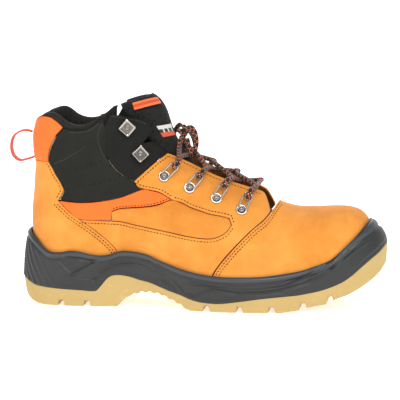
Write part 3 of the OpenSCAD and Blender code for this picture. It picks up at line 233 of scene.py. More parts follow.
def foamCup(name, light, dark, beadHighlightTone, rough):
    f = Finish(name, Specular_IOR_Level=0.5)
    cloud, fine, bead = f.noise(36, 4, 0.6), f.noise(700, 3, 0.6), f.attribute("bead")
    colour = f.blend(cloud * 0.6 + fine * 0.25, tone(*dark), tone(*light))
    # painted highlight: near the bead under the top edge the foam colour is mixed towards a lighter bluish grey
    colour = f.blend(bead * 0.8, colour, tone(*beadHighlightTone))
    return f.finish(colour, rough + fine * 0.14 - bead * 0.12, fine * 0.7 + cloud * 0.8, 0.3, 0.0003)


def metal(name, light, dark, rough):
    f = Finish(name, Metallic=1.0)
    brushed = f.noise(260, 4, 0.6, f.stretched((1, 1, 9)))
    spots = f.band(f.noise(520, 3), 0.58, 0.8)
    colour = f.blend(spots * 0.5 + brushed * 0.3, tone(*light), tone(*dark))
    return f.finish(colour, rough + spots * 0.16 + brushed * 0.06, brushed, 0.1, 0.0001)


def braid(name, ground, fleck, second):
    # the tube's own map gives millimetres along it and the share of a turn round it
    f = Finish(name, Sheen_Weight=0.2, Specular_IOR_Level=0.3)
    run, turn, _ = f.parts(f.node("ShaderNodeUVMap", {"uv_map": "weave"}))
    left, right = (run * 0.9 + turn * 6.0).share(), (run * 0.9 - turn * 6.0).share()
    strandA, strandB = (left - 0.5).size() * 2, (right - 0.5).size() * 2
    weave = (1 - strandA) * 0.5 + (1 - strandB) * 0.5
    fleckA = (run * 0.2 + turn * 2.0).share().over(0.8) * (run * 0.6 - turn * 3.0).share().over(0.45)
    fleckB = (run * 0.2 - turn * 2.0 + 0.37).share().over(0.86) * (run * 0.6 + turn * 3.0).share().over(0.5)
    colour = f.blend(weave * 0.8, tone(*[c * 0.45 for c in ground]), tone(*ground))
    colour = f.blend(fleckA, colour, tone(*fleck))
    colour = f.blend(fleckB, colour, tone(*second))
    return f.finish(colour, 0.62 + weave * 0.2, weave, 0.8, 0.0005)


def webbing(name, edge, middle, darkMiddleWidth):
    # the strap's own map gives millimetres along it and the share across it
    f = Finish(name, Sheen_Weight=0.25, Specular_IOR_Level=0.3)
    run, across, _ = f.parts(f.node("ShaderNodeUVMap", {"uv_map": "weave"}))
    ribs = (run * 3.6 + (across * 46).wave() * 0.3).wave() * 0.5 + 0.5
    # across the strap the middle is darker than the edges; on the pull loop this darker middle is painted shade
    centre = 1 - f.band((across - 0.5).size(), darkMiddleWidth, darkMiddleWidth + 0.07)
    colour = f.blend(centre, tone(*edge), tone(*middle))
    colour = f.blend(ribs * 0.28, colour, tone(*[c * 0.55 for c in edge]))
    return f.finish(colour, 0.7 + ribs * 0.15, ribs * 0.8 + f.noise(1300, 2) * 0.3, 0.7, 0.0004)


finishes = {
    "nubuck": nubuck("nubuckTan", (238, 160, 72), (212, 130, 44), 0.1),
    "nubuckPad": nubuck("nubuckInsert", (230, 150, 64), (200, 120, 36), 0.1),
    "orange": smoothSkin("orangeSynthetic", (255, 122, 46), (250, 104, 30), 0.45, 0.5, 0.25),
    "ankle": smoothSkin("ankleNubuckBlack", (44, 44, 40), (30, 30, 28), 0.8, 0.9, 0.12),
    "hookPanel": smoothSkin("hookPanelBlack", (36, 36, 34), (24, 24, 23), 0.78, 0.9, 0.14),
    "collarMesh": meshCloth("collarMesh", (44, 43, 40), (12, 12, 11), 620, 0.08),
    "tongueMesh": meshCloth("tongueMesh", (40, 40, 38), (10, 10, 10), 560, 0.08),
    "lining": meshCloth("liningMesh", (66, 66, 68), (24, 24, 25), 480, 0.2),
    # the third colour is a painted highlight, the lighter bluish grey along the bead under the midsole's top edge
    "midsole": foamCup("midsoleFoam", (50, 51, 51), (34, 35, 35), (64, 70, 76), 0.42),
    "outsole": moulded("outsoleRubber", (204, 176, 116), (184, 154, 92), 0.62, 520),
    "nickel": metal("nickelPlate", (186, 180, 172), (92, 86, 80), 0.16),
    "rivet": metal("rivetNickel", (140, 134, 130), (80, 76, 74), 0.3),
    "lace": braid("laceBraid", (30, 28, 28), (240, 112, 52), (238, 168, 120)),
    # painted shade: the pull loop's dark middle stands for the shade on the loop's inner face
    "pullWeb": webbing("pullLoopWebbing", (232, 82, 48), (150, 44, 24), 0.1),
    "tongueWeb": webbing("tongueLoopWebbing", (252, 122, 70), (218, 74, 30), 0.16),
    "thread": smoothSkin("threadTan", (206, 138, 58), (186, 116, 42), 0.7, 0.3),
    # painted shade: dark brown discs stand for the shade inside the needle holes
    "hole": smoothSkin("needleHoleShade", (78, 42, 10), (50, 26, 6), 0.9, 0.2, 0.1),
    # painted shade: near-black discs stand for the shade inside the perforations
    "holeShadeBlack": smoothSkin("perforationShade", (12, 12, 12), (7, 7, 7), 0.9, 0.2),
    "greyThread": smoothSkin("threadGrey", (78, 78, 74), (58, 58, 55), 0.8, 0.3, 0.15),
    "aglet": moulded("agletPlastic", (26, 26, 27), (14, 14, 15), 0.25),
    "steel": metal("steelPlate", (176, 180, 186), (120, 124, 130), 0.38),
    "felt": meshCloth("backingFelt", (150, 148, 142), (112, 110, 104), 900, 0.4),
    "foam": meshCloth("ankleFoam", (206, 196, 160), (160, 150, 116), 760, 0.3),
    "board": moulded("insoleBoard", (196, 172, 134), (158, 132, 94), 0.8, 420),
    "cup": moulded("heelStiffener", (212, 202, 180), (180, 168, 142), 0.6),
    "strip": moulded("edgeStripRubber", (34, 34, 35), (20, 20, 21), 0.6),
    "footbedTop": meshCloth("footbedCloth", (78, 80, 84), (40, 41, 44), 420, 0.3),
}
print("materials ready:", len(finishes))


# ---- the boot in millimetres: stations run from the rear of the sole, heights from the ground ----
sections = [ [40, 30, 32.5, 33, 73, 24, 114, 30.5, 161], [62, 29.5, 31.8, 34, 74, 27, 116, 33, 161],
    [84, 28.5, 30.3, 34, 78, 30, 115, 31.5, 161], [98, 29, 28.9, 35.5, 76, 34, 110, 28, 157.5],
    [112, 31, 26.7, 38, 75, 34, 110, 22.5, 149], [126, 34, 24.2, 40, 68, 35, 105, 19.5, 128.5],
    [142, 38.5, 21.7, 42.5, 61, 36, 97, 17.5, 120.5], [162, 42.5, 19.3, 45, 55, 37, 89, 15.5, 110.5],
    [182, 45, 17.8, 47, 51, 37.5, 83, 12.5, 102.8], [202, 45, 17.2, 47, 49, 34, 82, 8.5, 96],
    [213, 44, 17.4, 46, 48, 26, 85.5, 0, 85.5], [230, 41, 18.8, 44, 50, 30, 80.3, 0, 80.3],
    [245, 38.5, 21.4, 41.5, 60, 31, 79.8, 0, 79.8]]
toeLine = [[38, 27], [52, 80], [43, 84], [0, 79.8]]
heelLine = [[30, 10.8], [50, 9.6], [60, 9.3], [77, 9.1], [86, 9.9], [94, 10.7], [106, 11.4], [114, 12.2],
    [119, 11.6], [125, 10.4], [132, 9.9], [140, 9.9], [146, 11.2], [152, 12.6], [158, 14.2], [162, 15.4]]
bendLine = [[0, 0], [82, 0], [100, -2.4], [115, -3.2], [132, -3.5], [148, -3.5], [165, -2.5], [182, -1.2],
    [200, 0.2], [215, 1.5], [232, 2.2], [249, 2.7], [305, 2.8]]
bendFade = [[40, 1], [80, 0.45], [120, 0]]
soleHalfLine = [[40, 36.5], [55, 36.5], [70, 35.5], [85, 34], [100, 32.8], [115, 34.4], [132, 38.5],
    [148, 43.5], [165, 47.6], [182, 50.2], [200, 51.4], [215, 50.8], [232, 47.8], [245, 43.8]]
wrapLine = [[0, 21], [12, 16.5], [19, 15.5], [36, 14.4], [53, 13.6], [66, 13.3], [70, 17], [74, 22],
    [78, 25.4], [84, 26.7], [94, 25.6], [102, 23.4], [112, 21.2], [120, 18.3], [128, 15.5], [138, 12.7],
    [146, 9.8], [154, 8], [163, 7.2], [172, 7.3], [189, 9.6], [205, 11.9], [221, 13.5], [238, 15.1],
    [254, 18.4], [270, 24.5], [278, 29.6], [286, 36.4], [293, 42.2], [300, 47.6], [305, 53]]
rimLine = [[0, 60.5], [6, 60], [14, 54.5], [18, 51], [22, 47.5], [27, 44.8], [36, 44.6], [44, 46], [52, 45.5],
    [61, 43.5], [69, 42.5], [77, 43.5], [86, 46.5], [94, 47], [102, 46.5], [112, 44.5], [120, 41],
    [128, 38.3], [138, 35], [146, 33], [154, 31.5], [163, 30.2], [171, 29.5], [188, 29.2], [205, 29.8],
    [221, 31.6], [238, 34.8], [254, 40], [262, 43.5], [269, 50], [278, 58.5], [285, 65.5], [292, 73]]
groundLine = [[0, 17], [1, 12.5], [2.5, 8], [5, 4.5], [9, 2], [14, 0.5], [20, 0], [83.5, 0], [86, 3], [90, 7],
    [95, 10], [104, 13], [112, 13.2], [120, 12], [129, 8.4], [138, 4.5], [142, 1.5], [146, 0], [221, 0],
    [235, 1.9], [241, 3.5], [259, 6.9], [267, 11], [276, 13.8], [286, 18.8], [292, 22.4], [298, 26.8],
    [302, 30.8], [305, 35.5]]
floorLine = [[0, 33], [40, 32], [62, 31.3], [84, 29.8], [98, 28.4], [112, 26.2], [126, 23.7], [142, 21.2],
    [162, 18.8], [182, 17.3], [202, 16.7], [213, 16.9], [230, 18.3], [245, 20.7], [255, 21.1], [265, 22.1],
    [275, 23.8], [285, 26], [305, 28]]
heelTabTop = [[-7.2, 151.8], [2.4, 153.4], [13.9, 156.8], [20, 157.4], [25.8, 157], [30.5, 155],
    [35.1, 151.9], [38.3, 148.8]]
heelTabEdge = [[24.3, 119.6], [24.3, 122.6], [26.6, 130.6], [30, 137.6], [32.2, 141.7], [35.6, 145.7],
    [38.3, 148.8]]
counterTopEdge = [[34.1, 87.4], [36.7, 91.8], [39.2, 96.9], [35.6, 103.8], [31.1, 109.7], [26.7, 116.6],
    [24.3, 119.6]]
counterLowEdge = [[88, 30], [83.2, 46.4], [77.2, 53.6], [69.2, 60.4], [61.2, 66.3], [52.1, 72.3], [44, 77.9],
    [34.1, 87.4]]
collarSeam = [[38.3, 148.8], [44, 147.2], [51, 147.1], [58.4, 148.3], [63.5, 150.8], [69.3, 155.4], [72, 157.6]]
hookBackEdge = [[79.2, 160.6], [77.2, 157.6], [74.2, 152.5], [71.2, 147.4], [70.2, 141.4], [73, 130],
    [80, 118], [88, 110.5], [98.3, 105.4]]
hookFrontEdge = [[79.2, 160.6], [86, 159.7], [93.8, 157.9], [101.4, 156], [107, 153.1], [110.9, 149.4],
    [111.4, 146.2], [109.3, 142.1], [104.8, 136.5], [112.2, 137.6], [118, 132.8], [124, 127.6]]
facingBackEdge = [[124, 127.6], [114.6, 120.2], [98.3, 105.4]]
facingLowEdge = [[98.3, 105.4], [101, 101.2], [106.4, 99.1], [111.5, 98.2], [119.6, 96.3], [129.7, 90.5]]
ankleLowEdge = [[34.1, 87.4], [52.2, 86.3], [69.2, 87.8], [86.3, 91.2], [94.3, 94.3], [106.4, 99.1]]
insertTopEdge = [[79.4, 79.6], [86.5, 82.1], [111.6, 84.8], [119.7, 86.7], [129.7, 90.5]]
windowTopEdge = [[129.7, 90.5], [136.8, 88.6], [145, 84.8], [153, 82], [162.2, 79.1], [170.4, 77.7],
    [177.4, 75.9], [179.6, 70.4]]
windowLowEdge = [[52.1, 72.3], [79.5, 71.6], [86.5, 71.4], [103.3, 68.5], [128.9, 64.1], [149.8, 60.5],
    [164.5, 59.9], [174.5, 63.9], [179.6, 70.4]]
throatLine = [[124, 127.6], [142, 119.7], [162, 109.7], [182, 101.9], [202, 95]]
vampEdge = [[163, 19.5], [166, 31.7], [179.4, 49.4], [195.2, 65.7], [205, 74.2], [210, 80.5], [213.5, 85.5]]
liningTop = [[-7.2, 136], [14, 140], [26, 143.5], [33, 141], [43, 134.5], [53, 133], [66, 137.5], [76, 142],
    [84, 142.5], [92, 136], [100, 126], [112, 113], [126, 105], [142, 99], [162, 91], [182, 83.5], [204, 76]]
rimTop = [[-7.2, 154.3], [0, 154.8], [6, 156.2], [13.9, 158.8], [20, 160.6], [26.6, 161.4], [33, 160],
    [38, 156.5], [43, 153.5], [48, 151.8], [53, 151.4], [58, 152.2], [62, 153.8], [66, 156.4], [70, 160.2],
    [75, 163.4]]
tongueRows = [[210.5, 79.6, 14, 0, 3], [205, 83, 17, 0, 4], [190, 89, 20, 0, 5.5], [172, 95.5, 22, 1, 6.5],
    [156, 105, 23, 4, 7], [145, 115.5, 23, 9, 6], [137, 126.5, 22.5, 15, 4], [130.5, 138, 22, 21, 2],
    [126, 150, 22, 27, 3], [122.5, 161, 22.5, 31, 6], [117.5, 170, 23, 31, 8], [109, 177.5, 21, 26, 9]]
loopLine = [[7.9, 141.4], [3, 142.6], [-3, 141.4], [-8.2, 137], [-10, 129], [-8.4, 121.6], [-3.4, 117.4],
    [3, 118.2], [9.4, 120.4]]
ringPlaces = [[122.4, 109], [143.8, 99.6], [165.8, 91], [186.8, 81.8]]
ringEnds = [[131.6, 117.5], [152, 108.6], [172.8, 100.9], [192.6, 92.3]]
hookPlaces = [[92.1, 149.4], [102.8, 127.8]]
hookEnds = [[99, 143], [109, 121]]
bowRoute = [[81.4, -6.2, 145.6], [87, -9, 148], [91, -12, 144], [92.5, -14, 136], [91, -15, 129.5],
    [87.5, -14, 129], [85.5, -11.5, 133.5], [83.8, -7.5, 138.6]]
tailFrontRoute = [[80, 5.2, 144.8], [82, 12, 143.5], [84, 20, 139], [85, 29, 132.5], [85, 36, 124.5],
    [82, 38, 114], [80, 39.5, 104], [78.5, 40, 94], [77, 41, 82], [76, 41.5, 66]]
tailRearRoute = [[76.5, 5.5, 148.3], [74, 12, 147], [70, 19, 142], [66.5, 26.8, 134.8], [63.5, 32, 125],
    [62, 35.5, 115], [61, 37.5, 105], [60, 38.5, 94], [59.5, 39.5, 82], [59, 39.5, 70]]
grooveStations = [36.6, 58.4, 160, 187.5, 214, 239, 261.5]
crossLine = [[143, 121.5], [162, 110.2], [182, 100.8], [197, 98]]
turnAngles = [15, 65, 115, 165, 215, 262]
heelX, toeX, heelTurn, toeTurn = 40, 245, 30, 44
backT, frontT = heelX - heelTurn * math.pi / 2, toeX + toeTurn * math.pi / 2
rimEnds = {"heel": 34, "toe": 47}
layers = {"panelIn": 0.5, "panelOut": 2.4, "thinOut": 2.0, "coreOut": -0.4, "capIn": -2.2,
          "vampLining": (-4.2, -3.0), "foamIn": -3.6, "quarterLining": (-5.6, -4.4), "cupIn": 3.4, "rimOut": 5.4,
          "boardEdge": -6.4, "seamGap": 0.3, "floorGap": 0.4, "lap": 0.7}


def smoothRow(table, x):  # a smooth curve through the rows of a table whose first column is the station
    rows = np.asarray(table, float)
    at = rows[:, 0]
    x = np.asarray(x, float)
    slopes = np.empty_like(rows)
    slopes[0] = (rows[1] - rows[0]) / (at[1] - at[0])
    slopes[-1] = (rows[-1] - rows[-2]) / (at[-1] - at[-2])
    slopes[1:-1] = (rows[2:] - rows[:-2]) / (at[2:] - at[:-2])[:, None]
    i = np.clip(np.searchsorted(at, x, side="right") - 1, 0, len(at) - 2)
    w = (at[i + 1] - at[i])[..., None]
    f = np.clip((x - at[i])[..., None] / w, 0, 1)
    return (rows[i] * (1 + 2 * f) * (1 - f) ** 2 + rows[i + 1] * f * f * (3 - 2 * f)
            + (slopes[i] * f * (1 - f) ** 2 - slopes[i + 1] * f * f * (1 - f)) * w)


def curve(table, x):
    return smoothRow(table, x)[..., 1]


def bezier(p, v):
    v = np.asarray(v, float)[..., None]
    w = 1 - v
    return p[..., 0, :] * w**3 + 3 * p[..., 1, :] * w * w * v + 3 * p[..., 2, :] * w * v * v + p[..., 3, :] * v**3


def halfPoint(t, v):
    t, v = np.broadcast_arrays(np.asarray(t, float), np.asarray(v, float))
    rows = smoothRow(sections, np.clip(t, heelX, toeX))[..., 1:]
    p = bezier(rows.reshape(rows.shape[:-1] + (4, 2)), v)
    y, z, x = p[..., 0], p[..., 1], t
    heel, toe = t < heelX, t > toeX
    a, b = (heelX - t) / heelTurn, (t - toeX) / toeTurn
    x = np.where(heel, heelX - (heelX - curve(heelLine, z)) * np.sin(a), x)
    q = bezier(np.broadcast_to(np.asarray(toeLine, float), v.shape + (4, 2)), v)
    x = np.where(toe, toeX + q[..., 0] * np.sin(b), x)
    z = np.where(toe, z + (q[..., 1] - z) * np.sin(b) ** 2, z)
    y = np.where(heel, y * np.cos(a), np.where(toe, y * np.cos(b), y))
    return np.stack([x, y, z], -1)


def unit(a):
    return a / np.maximum(np.linalg.norm(a, axis=-1, keepdims=True), 1e-9)


def halfNormal(t, v):
    s, u = np.where(t > frontT - 0.5, t - 0.5, t), np.minimum(v, 0.985)
    here = halfPoint(s, u)
    n = unit(np.cross(halfPoint(s, u + 0.01) - here, halfPoint(s + 0.3, u) - here))
    return np.where(((t > toeX) & (v > 0.985))[..., None], np.array([0.0, 0, 1]), n)


def bent(q):
    q = np.array(q, float)
    q[..., 1] += curve(bendLine, q[..., 0]) * curve(bendFade, q[..., 2])
    q[..., 0] -= 55
    return q


def folded(t, side):
    side = np.where(t < backT, -side, side)
    t = np.where(t < backT, 2 * backT - t, t)
    side = np.where(t > frontT, -side, side)
    return np.where(t > frontT, 2 * frontT - t, t), side


def skin(t, v, d, side):
    t, v, d, side = np.broadcast_arrays(*(np.asarray(a, float) for a in (t, v, d, side)))
    t, side = folded(t, side)
    side, v = np.where(v > 1, -side, side), np.where(v > 1, 2 - v, v)
    q = halfPoint(t, v) + halfNormal(t, v) * d[..., None]
    q[..., 1] = np.maximum(q[..., 1], 0) * side
    return bent(q)


def place(t, z):
    t, z = np.broadcast_arrays(np.asarray(t, float), np.asarray(z, float))
    low, high = np.zeros(t.shape), np.ones(t.shape)
    for _ in range(16):
        m = (low + high) / 2
        up = halfPoint(t, m)[..., 2] < z
        low, high = np.where(up, m, low), np.where(up, high, m)
    return (low + high) / 2


def levelSkin(t, z, d, side):
    t, z, d, side = np.broadcast_arrays(*(np.asarray(a, float) for a in (t, z, d, side)))
    t, side = folded(t, side)
    v = place(t, np.minimum(z, 160))
    p, n = halfPoint(t, v), halfNormal(t, v)
    flat = np.linalg.norm(n[..., :2], axis=-1)
    q = p[..., :2] + unit(n[..., :2]) * (d / np.maximum(flat, 0.6))[..., None]
    return bent(np.stack([q[..., 0], side * np.maximum(q[..., 1], 0), z], -1))


def unevenness(p, size, seed):  # gentle swells, the same on every run
    waves = ((0.061, 0.043, 0.077), (-0.083, 0.057, 0.049), (0.119, -0.097, 0.063), (0.037, 0.131, -0.109))
    total = sum(np.sin(p @ np.array(w) + seed * (1.7 + k)) for k, w in enumerate(waves))
    return total * size / len(waves)


# ---- meshes ----
def quads(rows, cols, start=0, wrap=False):
    i, j = np.meshgrid(np.arange(rows - 1), np.arange(cols if wrap else cols - 1), indexing="ij")
    k = (j + 1) % cols
    return np.stack([i * cols + j, i * cols + k, (i + 1) * cols + k, (i + 1) * cols + j], -1).reshape(-1, 4) + start


def build(name, points, faces, finish, body="boot", slot=None, stands=(), sharp=38, merge=None, fields=None):
    mesh = bpy.data.meshes.new(name)
    mesh.from_pydata((np.asarray(points, float).reshape(-1, 3) * mm).tolist(), [], [list(map(int, f)) for f in faces])
    if merge is not None:
        bm = bmesh.new()
        bm.from_mesh(mesh)
        bmesh.ops.remove_doubles(bm, verts=bm.verts, dist=merge * mm)
        bmesh.ops.recalc_face_normals(bm, faces=bm.faces)
        bm.to_mesh(mesh)
        bm.free()
    for key, values in (fields or {}).items():
        mesh.attributes.new(key, "FLOAT", "POINT").data.foreach_set("value", np.asarray(values, np.float32).ravel())
    turnOut(mesh)
    mesh.polygons.foreach_set("use_smooth", [True] * len(mesh.polygons))
    mesh.set_sharp_from_angle(angle=math.radians(sharp))
    mesh.materials.append(finishes[finish])
    piece = bpy.data.objects.new(name, mesh)
    scene.collection.objects.link(piece)
    return settle(piece, body, stands)


def settle(piece, body, stands=()):
    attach(piece, body)
    if stands:
        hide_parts(*stands)
    return piece


def turnOut(mesh):  # a closed shape whose volume comes out negative is inside out
    bm = bmesh.new()
    bm.from_mesh(mesh)
    if bm.calc_volume(signed=True) < 0:
        bmesh.ops.reverse_faces(bm, faces=bm.faces)
    bm.to_mesh(mesh)
    bm.free()


def shellFaces(rows, cols, wrap=False):  # two grids, outer then inner, closed round their borders
    half = rows * cols
    outer = quads(rows, cols, 0, wrap)
    inner = quads(rows, cols, half, wrap)[:, ::-1]
    low, high = np.arange(cols if wrap else cols - 1), (np.arange(cols if wrap else cols - 1) + 1) % cols
    rims = [np.stack([high, low, half + low, half + high], -1),
            np.stack([(rows - 1) * cols + low, (rows - 1) * cols + high, half + (rows - 1) * cols + high,
                      half + (rows - 1) * cols + low], -1)]
    if not wrap:
        a, b = np.arange(rows - 1) * cols, (np.arange(rows - 1) + 1) * cols
        rims += [np.stack([a, b, half + b, half + a], -1),
                 np.stack([b + cols - 1, a + cols - 1, half + a + cols - 1, half + b + cols - 1], -1)]
    return np.concatenate([outer, inner] + rims)


def spaced(line, step):  # a polyline made smooth between its sharp corners, with points a step apart
    p = np.asarray(line, float)
    turns = [math.degrees(math.acos(np.clip(unit(p[i] - p[i - 1]) @ unit(p[i + 1] - p[i]), -1, 1)))
             for i in range(1, len(p) - 1)]
    corners = [0] + [i + 1 for i, a in enumerate(turns) if a > 40] + [len(p) - 1]
    out = []
    for a, b in zip(corners, corners[1:]):
        run = p[a:b + 1]
        s = np.r_[0, np.cumsum(np.linalg.norm(np.diff(run, axis=0), axis=1))]
        n = max(2, int(round(s[-1] / step)) + 1)
        if len(run) > 2:
            fine = smoothRow(np.c_[s, run], np.linspace(0, s[-1], n))[:, 1:]
        else:
            fine = run[0] + (run[1] - run[0]) * np.linspace(0, 1, n)[:, None]
        out.append(fine if not out else fine[1:])
    return np.concatenate(out)


def shares(p):
    s = np.r_[0, np.cumsum(np.linalg.norm(np.diff(p, axis=0), axis=1))]
    return s / s[-1], s[-1]


def alongLine(p, s, f):
    return np.stack([np.interp(f, s, p[:, k]) for k in range(p.shape[1])], -1)


def panelSpots(low, high, step, row):  # the ruled surface between two edges, as stations and places, and edge distance
    a, b = spaced(low, 1.5), spaced(high, 1.5)
    (sa, la), (sb, lb) = shares(a), shares(b)
    size = max(la, lb)
    edge = np.array([0, 0.35, 0.9, 1.8, 3.0])
    f = np.linspace(0, 1, max(12, int(size / step)))
    f = np.unique(np.r_[edge / size, f[(f > 4 / size) & (f < 1 - 4 / size)], 1 - edge / size])
    f = layers["seamGap"] / size + (1 - 2 * layers["seamGap"] / size) * f
    p, q = alongLine(a, sa, f), alongLine(b, sb, f)
    gap = np.linalg.norm(q - p, axis=1)
    rows = max(4, int(gap.max() / row))
    cuts = []
    for g in gap:
        g0 = max(g - 2 * layers["seamGap"], 0.4)
        e = np.minimum(edge, g0 * edge / edge[-1] * 0.3)
        mid = np.linspace(e[-1], g0 - e[-1], rows + 1)[1:-1]
        cuts.append(np.r_[e, mid, (g0 - e)[::-1]] + min(layers["seamGap"], g * 0.3))
    cuts = np.array(cuts)
    u = cuts / np.maximum(gap, 0.4)[:, None]
    tz = p[:, None] + (q - p)[:, None] * u[..., None]
    rim = np.minimum(np.minimum(cuts, gap[:, None] - cuts), (np.minimum(f, 1 - f) * size)[:, None])
    return tz, np.maximum(rim - layers["seamGap"], 0)


def roundedEdge(rim, radius=0.9):  # how far the face drops at a given distance from the cut edge
    f = np.clip(1 - rim / radius, 0, 1)
    return radius * (1 - np.sqrt(np.maximum(1 - f * f, 0))) * 0.75


def onSkin(tz, d, side):
    t = np.where(tz[..., 0] < backT, 2 * backT - tz[..., 0], tz[..., 0])
    return skin(tz[..., 0], place(t, tz[..., 1]), d, side)


def panel(name, low, high, dIn, dOut, side, finish, step=1.6, row=1.8, puff=0.0, swell=0.12, **more):
    tz, rim = panelSpots(low, high, step, row)
    crown = puff * (1 - np.exp(-rim / 4.5))
    flat = onSkin(tz, dOut, side)
    top = dOut - roundedEdge(rim) + crown + unevenness(flat, swell, len(name)) * np.clip(rim / 3, 0, 1)
    outer, inner = onSkin(tz, top, side), onSkin(tz, dIn, side)
    rows, cols = tz.shape[:2]
    points = np.concatenate([outer.reshape(-1, 3), inner.reshape(-1, 3)])
    return build(name, points, shellFaces(rows, cols), finish, **more)


print("surfaces ready")


# ---- cords: the laced run, the bow and the two free tails, in the places of their solids ----
lace = {"diameter": 4.0, "ring": 0.8, "tipDiameter": 3.4, "tipLength": 20, "knot": (134.5, 0, 144)}
ring = {"base": 9.2, "wire": 1.7, "width": 6.8, "reach": 11.5, "lift": 22, "seat": 0.25, "armZ": 0.6, "pin": 2.4}
edgeLow, edgeHigh, lowLift, highLift = 1.6, 3, 2.0, 6.5


def splined(points, step):  # one smooth curve through the points, with points a step apart
    p = np.asarray(points, float)
    s = np.r_[0, np.cumsum(np.maximum(np.linalg.norm(np.diff(p, axis=0), axis=1), 1e-6) ** 0.5)]
    fine = smoothRow(np.c_[s, p], np.linspace(0, s[-1], len(p) * 30))[:, 1:]
    f, size = shares(fine)
    return alongLine(fine, f, np.linspace(0, 1, max(6, int(size / step))))


def carriedFrames(route):  # directions across the route, without twist
    along = unit(np.gradient(route, axis=0))
    side = [unit(np.cross(along[0], [0.0, 0.3, 1.0]))]
    for t in along[1:]:
        side.append(unit(side[-1] - t * (side[-1] @ t)))
    side = np.array(side)
    return along, side, np.cross(along, side)


def tube(name, route, diameter, finish, sides=18, tips=True, weave=0.05, flat=1.0, **more):
    _, a, b = carriedFrames(route)
    run = np.r_[0, np.cumsum(np.linalg.norm(np.diff(route, axis=0), axis=1))]
    turn = np.arange(sides) / sides
    left, right = (np.abs(np.sin(np.pi * (run[:, None] * 0.45 + 2 * way * turn))) for way in (1, -1))
    bumps = left * right
    size = np.full(len(run), diameter / 2)
    if tips:
        ends = np.minimum(run, run[-1] - run)
        size *= np.sqrt(np.clip(1 - (1 - np.clip(ends / (diameter * 0.3), 0, 1)) ** 2, 0.02, 1))
    radius = size[:, None] * (1 - weave + 2 * weave * np.sqrt(bumps))
    angle = turn * 2 * math.pi
    points = (route[:, None] + a[:, None] * (np.cos(angle) * radius)[..., None]
              + b[:, None] * (np.sin(angle) * radius * flat)[..., None])
    faces = [list(q) for q in quads(len(route), sides, 0, True)]
    last = (len(route) - 1) * sides
    faces += [list(range(sides - 1, -1, -1)), list(range(last, last + sides))]
    piece = build(name, points, faces, finish, sharp=60, **more)
    uvOnGrid(piece.data, run, turn)
    return piece


def uvOnGrid(mesh, run, turn):  # run along the tube and turn round it, unbroken at the seam
    sides = len(turn)
    layer = mesh.uv_layers.new(name="weave")
    for face in mesh.polygons:
        corners = [(mesh.loops[k].vertex_index, k) for k in face.loop_indices]
        seam = len(corners) == 4 and max(v % sides for v, _ in corners) - min(v % sides for v, _ in corners) > 1
        for v, k in corners:
            j = v % sides
            layer.data[k].uv = (run[v // sides], 1.0 if seam and j == 0 else turn[j])


def frameAt(start, end, d, side):  # a frame on the skin: local X runs to the second place, local Z outwards
    p = onSkin(np.array(start, float), d, side)
    q = onSkin(np.array(end, float), d, side)
    h = halfNormal(np.array(start[0], float), place(start[0], start[1]))
    z = np.array([h[0], side * h[1], h[2]])
    x = unit((q - p) - z * ((q - p) @ z))
    return p, x, np.cross(z, x), z


def turnRound(i, side, over):  # the lace turns round the end of a ring, from above it to below it
    p, x, _, z = frameAt(ringPlaces[i], ringEnds[i], layers["thinOut"] + ring["seat"], side)
    c, s = math.cos(math.radians(ring["lift"])), math.sin(math.radians(ring["lift"]))
    out, up = x * c + z * s, z * c - x * s
    tip = p + z * ring["armZ"] + out * (ring["reach"] + ring["width"] / 2)
    radius = ring["wire"] / 2 + lace["diameter"] / 2 + 0.5
    angles = [math.radians(a) for a in (turnAngles if over else turnAngles[::-1])]
    return [tip + (out * math.cos(a) + up * math.sin(a)) * radius for a in angles]


def overEdge(i, side, lift):
    t = ringEnds[i][0] + 2.5
    z = np.interp(t, [q[0] for q in throatLine], [q[1] for q in throatLine]) - 1
    return [onSkin(np.array([t, z]), layers["thinOut"] + lace["diameter"] / 2 + lift, side)]


def middle(x, y, lift):
    q = bent([x, y, np.interp(x, [p[0] for p in crossLine], [p[1] for p in crossLine])])
    return [q + np.array([0, 0, lift])]


def laceRoute():
    knot = bent(lace["knot"])
    route = [knot + [-0.5, 5.2, -3.7], bent([133, 13, 132])] + turnRound(0, medial, True) + overEdge(0, medial, edgeLow)
    crossings = ((143, highLift, 1, lateral), (162, lowLift, 2, medial), (182, highLift, 3, lateral))
    for x, lift, i, side in crossings:
        route += middle(x, 0, lift) + overEdge(i, side, edgeHigh)
        route += turnRound(i, side, True) + overEdge(i, side, edgeLow)
    route += middle(197, -7, lowLift) + middle(197, 7, lowLift)
    route += overEdge(3, medial, edgeLow) + turnRound(3, medial, False)
    back = ((182, lowLift, 3, medial, 2, lateral), (162, highLift, 2, lateral, 1, medial),
            (143, lowLift, 1, medial, 0, lateral))
    for x, lift, j, was, i, side in back:
        route += overEdge(j, was, edgeHigh) + middle(x, 0, lift)
        route += overEdge(i, side, edgeLow) + turnRound(i, side, False)
    return route + [bent([133, -13, 132]), knot + [-0.5, -5.2, -3.7]]


run = splined(laceRoute(), lace["ring"])
tube("shoelace", run, lace["diameter"], "lace", slot="lace", stands=["shoelace"])
tube("laceBow", splined(bowRoute, 0.7), lace["diameter"], "lace", slot="lace", stands=["lace_bow"])


def knotStrand(k):  # three wraps of the lace make the knot
    a = np.linspace(0, 2 * math.pi, 60)
    centre = bent(lace["knot"])
    tilt = (0.5, -0.2, 0.9)[k]
    x = np.cos(a) * (3.1 if k < 2 else 2.6)
    y = np.sin(a) * (4.4 if k < 2 else 3.0)
    z = (k - 0.8) * 2.2 + np.sin(a * 2) * 0.6
    return centre + np.stack([x * math.cos(tilt) + z * math.sin(tilt), y, -x * math.sin(tilt) + z * math.cos(tilt)], -1)


